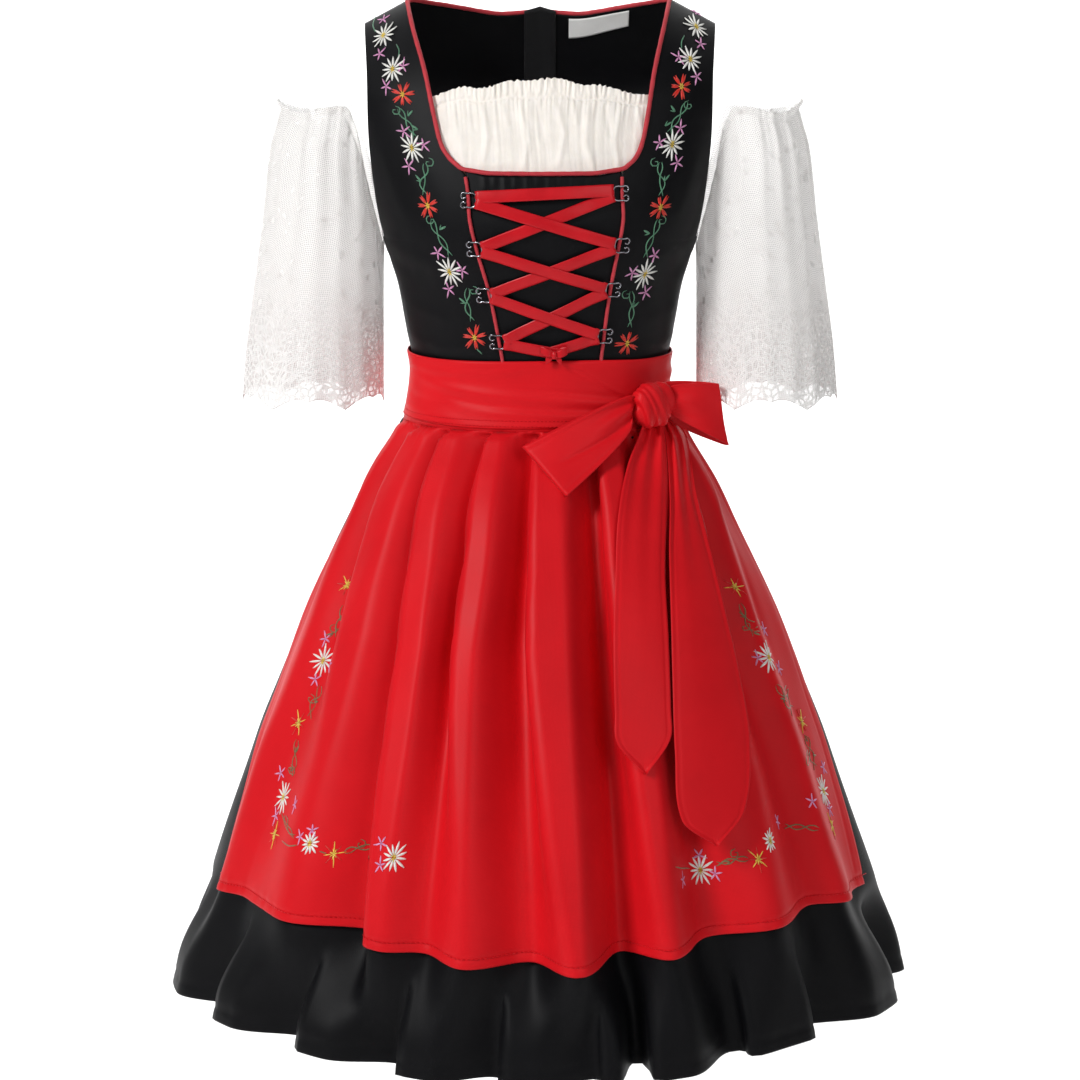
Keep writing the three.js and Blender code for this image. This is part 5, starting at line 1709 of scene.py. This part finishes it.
def ribbon_place(start, end, layer, width, shifts):
    """A stretch of ribbon from bar to bar; each end turns round its bar and tucks in behind."""
    ends = []
    for place, shift, inwards in ((start, shifts[0], 1), (end, shifts[1], -1)):
        if len(place) == 2 and place[1] in (0, 1):
            x, z = HOOKS[place[0]][place[1]]
            ends.append((np.array([x + inwards * WIRE_BAR, z + shift]), True))
        else:
            ends.append((np.array(place, float), False))
    (a, a_turns), (b, b_turns) = ends
    ahead = b - a
    whole = math.hypot(*ahead)
    ahead = ahead / whole
    aside = np.array([-ahead[1], ahead[0]])
    bar = HOOK_SEAT + 0.7
    level = HOOK_SEAT - 0.6 + layer * 1.25
    round_bar = [(2.6, -1.7), (0.9, -1.5), (-0.6, -1.1), (-1.25, 0), (-0.6, 1.1), (0.8, 1.5)]
    turn = [(along, bar + out) for along, out in round_bar]
    head = turn if a_turns else [(0, level - 0.3)]
    tail = [(whole - d, out) for d, out in reversed(turn)] if b_turns else [(whole, level - 0.3)]
    middle = [(whole * t, level + 0.7 * math.sin(math.pi * t)) for t in (0.16, 0.33, 0.5, 0.67, 0.84)]
    line = through(np.array(head + middle + tail), 61)

    def place(u, v):
        i = np.rint(u * 60).astype(int)
        d, out = line[i, 0], line[i, 1]
        cup = 0.35 * (1 - (2 * v - 1) ** 2) + 0.2 * np.sin(d / 9 + layer) * (2 * v - 1)
        side = (v - 0.5) * width
        x = a[0] + ahead[0] * d + aside[0] * side
        z = a[1] + ahead[1] * d + aside[1] * side
        return on_front(x, z, out + cup)

    return place, whole


def loop_strip(name, middle, across, out, up, reach, lift, width, columns=40):
    """A small loop of ribbon that leaves middle along across and comes back."""

    def place(u, v):
        turn = 2 * np.pi * u
        along = reach * (1 - np.cos(turn)) / 2
        deep = lift * np.sin(turn) * (0.4 + 0.6 * np.sin(np.pi * np.clip(along / reach, 0, 1)))
        pinch = 0.45 + 0.55 * np.sin(np.pi * np.clip(along / reach, 0, 1) * 0.75)
        side = (v - 0.5) * width * pinch
        return middle + across * along[:, None] + out * deep[:, None] + up * side[:, None]

    return grid_mesh(name, columns, 6, place)


# The small bow's two loops and two ends: direction across and up, reach, how far each stands out, width.
BOW_STRIPS = [
    (-0.93, 0.36, 13.5, 2.6, 8.0), (0.95, 0.3, 13.0, 2.6, 8.0),
    (-0.8, -0.6, 10.0, 0.7, 7.0), (0.7, -0.7, 10.0, 0.7, 7.0),
]
BOW_AT = np.array(13.0), np.array(-338.0)


class DIRNDL_OT_lacing(bpy.types.Operator):
    """Make the wire hooks and the ribbon laced through them"""

    bl_idname = "dirndl.lacing"
    bl_label = "Hooks and lacing"

    def execute(self, context):
        sizes, colours = settings()
        wire = finish_of(nickel_wire, colours.wire)
        ribbon = finish_of(red_satin_ribbon, colours.ribbon)
        radius = sizes.wire_thickness / MM / 2
        for i, pair in enumerate(HOOKS):
            for side, (x, z), inwards in zip(("left", "right"), pair, (1, -1)):
                name = f"wire_{side}_{i + 1}"
                piece = link_piece(name, hook_mesh(name, x, z, inwards, radius))
                finish_piece(piece, wire, "wire", f"hook_{side}_{i + 1}")
        width = sizes.ribbon_width / MM
        for node, start, end, layer, *shifts in STRETCHES:
            place, whole = ribbon_place(start, end, layer, width, shifts)
            piece = cloth(node.replace("lace_", "ribbon_"), 60, 8, place, 0.45)
            finish_piece(piece, ribbon, "red_ribbon", node)
        middle = on_front(*BOW_AT, 8.6)
        out = unit(on_front(*BOW_AT, 9.6) - middle)
        right, up = np.array([1.0, 0, 0]), np.array([0, 0, 1.0])
        meshes = [
            outward(loop_strip(f"bow_{i}", middle, right * x + up * z, out, up, reach, lift, wide))
            for i, (x, z, reach, lift, wide) in enumerate(BOW_STRIPS)
        ]
        bow = joined("ribbon_bow", meshes)
        wall = bow.modifiers.new("Ribbon thickness", "SOLIDIFY")
        wall.thickness, wall.offset = 0.4 * MM, 0
        finish_piece(bow, ribbon, "red_ribbon", "lace_bow")
        knot = tube_mesh(
            "ribbon_knot", middle + out * 1.4 + up * np.linspace(-3.6, 3.6, 13)[:, None],
            2.8 * np.sin(np.pi * np.linspace(0.12, 0.88, 13)) ** 0.5, 16, guide=(1, 0, 0),
        )
        finish_piece(link_piece("ribbon_knot", knot), ribbon, "red_ribbon")
        return {"FINISHED"}


# ------------------------------------------------------------------ zip and label
TAPE_OUT = -2.05  # the tape lies inside the back panels
COIL_OUT = 0.6
COIL_TOP, TAPE_TOP, TAPE_FOOT = -58.0, -52.0, -481.0
TOOTH = 1.6
SLIDER = -70.0
HINGE_OUT, HINGE_UP = 5.4, 3.0  # the pull tab's axis, in the slider's directions


def on_back_tape(x, h, out):
    behind = 180 - np.abs(angle_at(x, h))
    behind = np.where(x >= 0, behind, -behind)
    return np.where((h >= WAIST_SEAM)[:, None], on_back(x, h, out), skirt(behind, h, out))


def tape_place(u, v):
    x, h = lerp(16.0, -16.0, u), lerp(TAPE_FOOT, TAPE_TOP, v)
    return on_back_tape(x, h, TAPE_OUT + 0.15 * bell(np.abs(x), 13, 1))


def coil_place(u, v):
    x, h = lerp(2.2, -2.2, u), lerp(TAPE_FOOT, COIL_TOP, v)
    tooth = np.cos(2 * np.pi * h / TOOTH + np.where(x > 0, 0.0, np.pi))
    round_over = 0.7 * (np.abs(x) / 2.2) ** 3
    parting = 0.35 * bell(x, 0, 0.35)
    return on_back_tape(x, h, COIL_OUT + 0.25 * tooth * (1 - parting) - round_over - parting)


def slider_axes():
    seat = on_back(np.array(0.0), np.array(SLIDER))
    out = on_back(np.array(0.0), np.array(SLIDER), 1.0) - seat
    across = np.array([1.0, 0, 0])
    return seat, across, out, np.cross(across, out)


def blocks(name, boxes, bevel):
    """One bevelled piece of blocks, each given by width, depth, length, and its middle across, out and up."""
    seat, across, out, up = slider_axes()
    shell = bmesh.new()
    layer = shell.loops.layers.uv.new("Cloth")
    for width, depth, long, x, y, z in boxes:
        made = bmesh.ops.create_cube(shell, size=1.0)["verts"]
        for vert in made:
            local = np.array(vert.co) * [width, depth, long] + [x, y, z]
            vert.co = (seat + across * local[0] + out * local[1] + up * local[2]) * MM
    for face in shell.faces:
        for loop in face.loops:
            loop[layer].uv = (loop.vert.co.x, loop.vert.co.z)
    bmesh.ops.recalc_face_normals(shell, faces=shell.faces)
    mesh = bpy.data.meshes.new(name)
    shell.to_mesh(mesh)
    shell.free()
    piece = link_piece(name, mesh)
    edge = piece.modifiers.new("Rounded edges", "BEVEL")
    edge.width, edge.segments = bevel * MM, 3
    return piece


def label_place(u, v):
    x = lerp(88.0, 29.0, u)
    h = follow(BACK_NECK, "x", "h", x) - 2.5 - 12.0 * (1 - v)
    return on_back(x, h, -1.9 + 0.25 * np.sin(x / 9) * np.sin(np.pi * v))


class DIRNDL_OT_zip(bpy.types.Operator):
    """Make the zip with its slider and pull tab, and the blank label"""

    bl_idname = "dirndl.zip"
    bl_label = "Zip and label"

    def execute(self, context):
        colours = settings()[1]
        weave = finish_of(zip_tape_weave, colours.zip)
        paint = finish_of(black_zinc, colours.zip)
        tape = cloth("zip_tape_strip", 16, 150, tape_place, 0.6)
        finish_piece(tape, weave, "zip_tape", "zip_tape")
        coil = cloth("zip_teeth", 6, 1016, coil_place, 2.1)
        finish_piece(coil, weave, "zip_tape", "zip_coil")
        body = blocks(
            "zip_slider_body",
            [
                (5.6, 3, 12, 0, 0.1, 0), (8.8, 2.4, 12, 0, 2.8, 0),
                (1.2, 3.4, 4.4, -2.4, 4.8, HINGE_UP),
                (1.2, 3.4, 4.4, 2.4, 4.8, HINGE_UP),
            ],
            0.4,
        )
        finish_piece(body, paint, "zip_metal", "zip_slider")
        tab = blocks(
            "zip_pull",
            [(2.6, 1.2, 6, 0, HINGE_OUT, HINGE_UP - 2.2), (5.5, 1.2, 17, 0, HINGE_OUT, HINGE_UP - 13.1)],
            0.35,
        )
        finish_piece(tab, paint, "zip_metal", "zip_pull_tab", body="pull_tab")
        label = cloth("blank_label", 48, 12, label_place, 0.8)
        finish_piece(label, finish_of(white_label_satin, colours.label), "label", "neck_label")
        return {"FINISHED"}


# ------------------------------------------------------------------ embroidery
# Places are x and z from the front. A flower's third number is its size, a leaf's its turn.
BODICE_WORK = {
    "daisies": [
        (-149, -44, 12.5), (-139, -75, 12.5), (-120, -147, 12.5), (-85, -262, 13),
        (149, -36, 12.5), (142, -66, 12.5), (124, -144, 12.5), (99, -265, 13),
    ],
    "stars": [
        (-150, -29, 6.5), (-152, -61, 7), (-129, -72, 7.5), (-145, -91, 7.5), (-128, -132, 7.5),
        (-109, -144, 7), (-123, -164, 8), (-96, -244, 7.5), (-73, -260, 7.5), (-86, -279, 8),
        (150, -23, 6.5), (153, -52, 7), (131, -64, 7.5), (148, -82, 7.5), (132, -129, 7.5),
        (112, -142, 7), (129, -161, 8), (108, -247, 7.5), (87, -263, 7.5), (100, -283, 8),
    ],
    "reds": [
        (-129, -98, 11.5), (-105, -200, 11.5), (-62, -325, 12),
        (133, -91, 11.5), (113, -202, 11.5), (83, -332, 12),
    ],
    "vines": [
        [(-133, -111), (-129, -117), (-124, -124), (-120, -131), (-117, -138)],
        [(-108, -161), (-107, -170), (-110, -180), (-108, -190)],
        [(-101, -212), (-99, -221), (-94, -229), (-88, -238), (-84, -247)],
        [(-68, -277), (-69, -287), (-68, -297), (-64, -309)],
        [(138, -105), (135, -111), (131, -118), (125, -126), (121, -133)],
        [(113, -160), (112, -170), (115, -180), (113, -191)],
        [(111, -213), (109, -222), (105, -231), (101, -240), (99, -249)],
        [(86, -281), (87, -292), (87, -303), (85, -316)],
    ],
    "stems": [
        [(-60, -336), (-55, -341)], [(-158, -26), (-160, -34), (-157, -41)],
        [(-136, -52), (-133, -58), (-134, -64)], [(137, -44), (134, -50), (134, -56)],
    ],
    "curls": [
        (-136, -113, 1), (-104, -160, 1), (-102, -213, -1), (-63, -279, 1),
        (140, -108, -1), (108, -160, -1), (114, -214, 1), (82, -284, -1),
    ],
    "leaves": [
        (-124, -118, 45), (-114, -130, 150), (-111, -178, 130), (-94, -222, 25), (-70, -292, 140),
        (127, -114, 130), (117, -127, 30), (116, -178, 50), (103, -226, 155), (88, -297, 40),
    ],
}
APRON_WORK = {
    "daisies": [
        (-209, -636, 13.5), (-247, -764, 14), (-216, -788, 9.5), (-134, -783, 12.5),
        (220, -631, 13.5), (277, -770, 14), (216, -785, 9.5), (149, -805, 12.5),
    ],
    "stars": [
        (-207, -616, 7), (-197, -634, 7), (-217, -654, 7.5), (-251, -745, 7.5), (-233, -761, 7.5),
        (-255, -783, 8), (-146, -772, 7), (-147, -791, 7), (-226, -784, 6.5), (-214, -776, 6),
        (218, -612, 7), (209, -630, 7), (233, -650, 7.5), (279, -752, 7.5), (262, -767, 7.5),
        (284, -789, 8), (148, -792, 7), (163, -809, 7), (132, -807, 7), (226, -778, 6.5),
    ],
    "suns": [
        (-186, -565, 10.5), (-233, -696, 11.5), (-255, -798, 12), (-193, -796, 11),
        (188, -565, 10.5), (256, -703, 11.5), (285, -802, 12), (204, -798, 11),
    ],
    "vines": [
        [(-189, -584), (-192, -593), (-194, -602), (-199, -612)],
        [(-211, -658), (-214, -668), (-219, -677), (-222, -688)],
        [(-234, -711), (-236, -721), (-236, -731), (-240, -742)],
        [(-244, -777), (-240, -782), (-232, -786)],
        [(-183, -795), (-173, -791), (-163, -790), (-153, -785)],
        [(192, -580), (196, -589), (200, -598), (206, -609)],
        [(227, -657), (233, -666), (239, -676), (245, -688)],
        [(259, -717), (263, -726), (266, -737), (269, -747)],
        [(268, -793), (258, -790), (246, -789), (234, -786)],
        [(194, -797), (184, -796), (173, -799), (164, -800)],
    ],
    "stems": [
        [(-248, -778), (-244, -783), (-234, -787)], [(-246, -797), (-238, -796), (-229, -792)],
        [(-207, -794), (-200, -796)], [(139, -802), (131, -797), (124, -791)],
    ],
    "curls": [
        (-198, -606, -1), (-221, -672, 1), (-240, -738, 1), (-168, -787, 1),
        (197, -601, 1), (240, -671, -1), (261, -732, -1), (182, -791, -1),
    ],
    "leaves": [
        (-199, -610, 200), (-193, -598, 60), (-217, -674, 20), (-238, -736, 190), (-166, -792, 0),
        (205, -607, -20), (198, -593, 120), (236, -672, 160), (267, -736, -10), (177, -798, 180),
        (-236, -722, 70), (262, -722, 110),
    ],
}
CURL = [(0, 4.2), (3.4, 3.0), (4.4, -0.6), (2.2, -3.6), (-1.2, -3.2), (-2.6, -0.6), (-1.2, 1.4), (0.6, 0.6)]


def spin(x, z):
    """A turn for a flower, in degrees, that differs from one to the next."""
    return (37 * abs(x) + 53 * abs(z)) % 60


def vine(needle, points):
    """Two thin stems that wind round each other."""
    path = through(np.array(points, float), 11)
    ahead = unit(np.gradient(path, axis=0))
    aside = np.stack([-ahead[:, 1], ahead[:, 0]], -1)
    t = np.linspace(0, 1, len(path))[:, None]
    for swing, width in ((2.6, 1.35), (-2.2, 1.15)):
        needle.line(path + aside * swing * np.sin(2.2 * np.pi * t + 0.4), width, 0.6)


def worked(surface, work):
    """The stitches of each thread on one area."""
    threads = {name: Needlework(surface) for name in ("white", "yellow", "pink", "scarlet", "stem")}

    def centres(key):
        x, z, last = np.array(work.get(key, [(0.0, -300.0, 0.0)]), float).T
        angle, h = locate(surface, x, z)
        return [((a, b), spin(p, q), size) for a, b, p, q, size in zip(angle, h, x, z, last) if size]

    for at, turn, size in centres("daisies"):
        for k in range(12):
            wave = 1 + 0.13 * math.sin(2.3 * k + turn)
            threads["white"].petal(at, turn + k * 30, 2.0, size * wave, 2.4, 0.9, 5, 1.15)
        for k in range(6):
            threads["yellow"].petal(at, turn + 20 + k * 60, 0.2, 2.6, 1.4, 1.3, 3, 1.6)
    for at, turn, size in centres("stars"):
        for k in range(5):
            reach = size * (1 + 0.15 * math.cos(3 * k + turn))
            threads["pink"].petal(at, turn + k * 72, 0.3, reach, 1.9, 0.8, 4, 1.1)
    for at, turn, size in centres("reds"):
        for k in range(7):
            reach = size * (1 + 0.12 * math.sin(2 * k + turn))
            for aside in (-6, 6):
                threads["scarlet"].petal(at, turn + k * 360 / 7 + aside, 2.0, reach, 2.3, 0.9, 5, 1.05)
        for k in range(7):
            threads["yellow"].petal(at, turn + k * 360 / 7, 0.2, 3.2, 1.5, 1.3, 3, 1.25)
    for at, turn, size in centres("suns"):
        for k in range(8):
            reach = size * (1 + 0.16 * math.sin(1.9 * k + turn))
            threads[("yellow", "scarlet")[k % 2]].petal(at, turn + k * 45, 2.0, reach, 1.2, 0.7, 4, 1.05)
        for k in range(7):
            threads["yellow"].petal(at, turn + k * 360 / 7, 0.2, 4.0, 1.6, 1.2, 3, 1.3)
    for points in work["vines"]:
        vine(threads["stem"], points)
    for points in work["stems"]:
        threads["stem"].line(points, 1.2, 0.6)
    for x, z, side in work["curls"]:
        threads["stem"].line([(x + side * p, z + q) for p, q in CURL], 1.1, 0.6)
    for at, _, turn in ((at, 0, size) for at, _, size in centres("leaves")):
        threads["stem"].petal(at, turn, 0.2, 8.0, 2.2, 0.8, 5)
        threads["stem"].petal(at, turn + 38, 0.2, 5.5, 1.2, 0.7, 4)
    return threads


def stitch_row(needle, angle, h, long, gap, width, lift=0.35):
    """A row of machine stitches along a path on the needle's surface."""
    places = needle.surface(angle, h)
    run = np.concatenate([[0], np.cumsum(np.linalg.norm(np.diff(places, axis=0), axis=1))])
    per_degree, per_rise = needle.scales(angle, h)
    for start in np.arange(gap, run[-1] - long, long + gap):
        at = np.array([start, start + long / 2, start + long])
        scales = (np.interp(at, run, per_degree), np.interp(at, run, per_rise))
        needle.strip(np.interp(at, run, angle), np.interp(at, run, h), np.full(3, width), lift, scales)


class DIRNDL_OT_embroidery(bpy.types.Operator):
    """Make the raised flower embroidery and the machine stitches"""

    bl_idname = "dirndl.embroidery"
    bl_label = "Embroidery and stitches"

    def execute(self, context):
        sizes, colours = settings()
        raised = sizes.thread_lift / (0.8 * MM)

        def on_bodice(angle, h, out=0.0):
            return bodice_front(angle, h, 0.05 + np.asarray(out, float) * raised)

        def on_apron(angle, h, out=0.0):
            return apron_face(angle, h, 0.05 + np.asarray(out, float) * raised)

        for area, surface, work, stem, stem_words in (
            ("bodice", on_bodice, BODICE_WORK, colours.green_thread, "Green"),
            ("apron", on_apron, APRON_WORK, colours.olive_thread, "Olive"),
        ):
            tints = {
                "white": ("White", colours.white_thread), "yellow": ("Yellow", colours.yellow_thread),
                "pink": ("Pink", colours.pink_thread), "scarlet": ("Scarlet", colours.scarlet_thread),
                "stem": (stem_words, stem),
            }
            for thread, needle in worked(surface, work).items():
                word, colour = tints[thread]
                piece = needle.made(f"{area}_{thread}_stitches")
                finish_piece(piece, finish_of(embroidery_thread, colour, word), "embroidery")

        red = finish_of(red_apron_satin, colours.red)
        hem = Needlework(lambda angle, h, out=0.0: apron_face(angle, h, np.asarray(out, float) - 0.2))
        angle = np.linspace(-77, 77, 1500)
        above = 9.0  # the row of stitches runs this far above the apron's edge
        share = (APRON_TOP - APRON_HEM - above) / (APRON_TOP - APRON_HEM)
        hem_height = APRON_HEM + above + share**3 * hem_lift(angle, APRON_HEM_LIFT)
        stitch_row(hem, angle, hem_height, 3.6, 0.9, 0.9)
        finish_piece(hem.made("apron_hem_stitches", 0.2), red, "red_cloth")
        sash = Needlework(
            lambda angle, h, out=0.0: ring(angle, h, 4.25 + sash_rise(angle, h) + np.asarray(out, float))
        )
        for height in (SASH_BOTTOM + 2.2, SASH_BOTTOM + 7.4):
            angle = np.linspace(-89, 41, 900)
            stitch_row(sash, angle, np.full(900, height), 3.0, 0.8, 0.8)
        finish_piece(sash.made("sash_stitches", 0.2), red, "red_cloth")
        return {"FINISHED"}


# ------------------------------------------------------------------ stage
FLOOR = -1.4  # the garment floats above a floor that the wall curves up from, in metres
WALL_AT = 5.5
CAMERA_AT = (0.0, -2.6, -0.02)
CAMERA_TILT = 11.31  # degrees down


def backdrop_place(u, v):
    """Floor, curve and wall in one sheet: x across, v from the front edge of the floor up the wall."""
    bend = 1.6
    flat_part, arc, wall_part = 11.0, bend * math.pi / 2, 5.0
    run = v * (flat_part + arc + wall_part)
    turn = np.clip((run - flat_part) / bend, 0, math.pi / 2)
    y = WALL_AT - bend - flat_part + np.minimum(run, flat_part) + bend * np.sin(turn)
    z = FLOOR + bend * (1 - np.cos(turn)) + np.maximum(run - flat_part - arc, 0)
    return np.stack([lerp(-7, 7, u), y, z], -1) / MM


def area_lamp(name, place, target, size, watts):
    lamp = bpy.data.lights.new(name, "AREA")
    lamp.shape = "RECTANGLE"
    lamp.size, lamp.size_y = size
    lamp.energy = watts
    holder = bpy.data.objects.new(name, lamp)
    bpy.context.scene.collection.objects.link(holder)
    holder.location = place
    holder.rotation_euler = (Vector(target) - Vector(place)).to_track_quat("-Z", "Y").to_euler()


class DIRNDL_OT_stage(bpy.types.Operator):
    """Set up the pale floor, the soft light and the camera"""

    bl_idname = "dirndl.stage"
    bl_label = "Studio"

    def execute(self, context):
        scene = context.scene
        colours = settings()[1]
        paper = link_piece("studio_floor", grid_mesh("studio_floor", 4, 60, backdrop_place))
        paper.data.materials.append(studio_paper(tuple(colours.paper)))
        world = bpy.data.worlds.new("Studio light")
        world.use_nodes = True
        sky = world.node_tree.nodes["Background"]
        sky.inputs["Color"].default_value = (1, 1, 1, 1)
        sky.inputs["Strength"].default_value = 0.16
        scene.world = world
        area_lamp("key_light", (-2.3, -2.3, 1.5), (0, 0, -0.5), (0.8, 1.0), 104)
        area_lamp("fill_light", (1.7, -3.0, 0.9), (0, 0, -0.5), (1.6, 2.0), 27)
        area_lamp("wall_light", (0, 2.3, 2.6), (0, 4.6, -1.2), (6.0, 1.5), 330)
        camera = bpy.data.cameras.new("front_view")
        camera.sensor_fit, camera.sensor_width, camera.lens = "HORIZONTAL", 36.0, 88.383
        camera.clip_end = 50
        holder = bpy.data.objects.new("front_view", camera)
        scene.collection.objects.link(holder)
        holder.location = CAMERA_AT
        holder.rotation_euler = (math.radians(90 - CAMERA_TILT), 0, 0)
        scene.camera = holder
        scene.view_settings.view_transform = "Standard"
        return {"FINISHED"}


# ------------------------------------------------------------------ panel and run


class DIRNDL_PT_panel(bpy.types.Panel):
    """Lists the steps that make the dirndl"""

    bl_idname = "DIRNDL_PT_panel"
    bl_label = "Dirndl"
    bl_space_type = "VIEW_3D"
    bl_region_type = "UI"
    bl_category = "Dirndl"

    def draw(self, context):
        layout = self.layout
        for group in (context.scene.dirndl_sizes, context.scene.dirndl_colours):
            box = layout.box()
            for name in group.__annotations__:
                box.prop(group, name)
        for step in STEPS:
            layout.operator(step.bl_idname)


STEPS = (
    DIRNDL_OT_bodice,
    DIRNDL_OT_piping,
    DIRNDL_OT_chest_insert,
    DIRNDL_OT_sleeves,
    DIRNDL_OT_skirt,
    DIRNDL_OT_apron,
    DIRNDL_OT_sash,
    DIRNDL_OT_lacing,
    DIRNDL_OT_zip,
    DIRNDL_OT_embroidery,
    DIRNDL_OT_stage,
)
CLASSES = (DirndlSizes, DirndlColours, *STEPS, DIRNDL_PT_panel)


def register():
    for item in CLASSES:
        bpy.utils.register_class(item)
    bpy.types.Scene.dirndl_sizes = PointerProperty(type=DirndlSizes)
    bpy.types.Scene.dirndl_colours = PointerProperty(type=DirndlColours)


def unregister():
    del bpy.types.Scene.dirndl_colours
    del bpy.types.Scene.dirndl_sizes
    for item in reversed(CLASSES):
        bpy.utils.unregister_class(item)


def main():
    register()
    bpy.ops.dirndl.bodice()
    bpy.ops.dirndl.piping()
    bpy.ops.dirndl.chest_insert()
    bpy.ops.dirndl.sleeves()
    bpy.ops.dirndl.skirt()
    bpy.ops.dirndl.apron()
    bpy.ops.dirndl.sash()
    bpy.ops.dirndl.lacing()
    bpy.ops.dirndl.zip()
    bpy.ops.dirndl.embroidery()
    bpy.ops.dirndl.stage()
    bpy.context.view_layer.update()


if __name__ == "__main__":
    main()
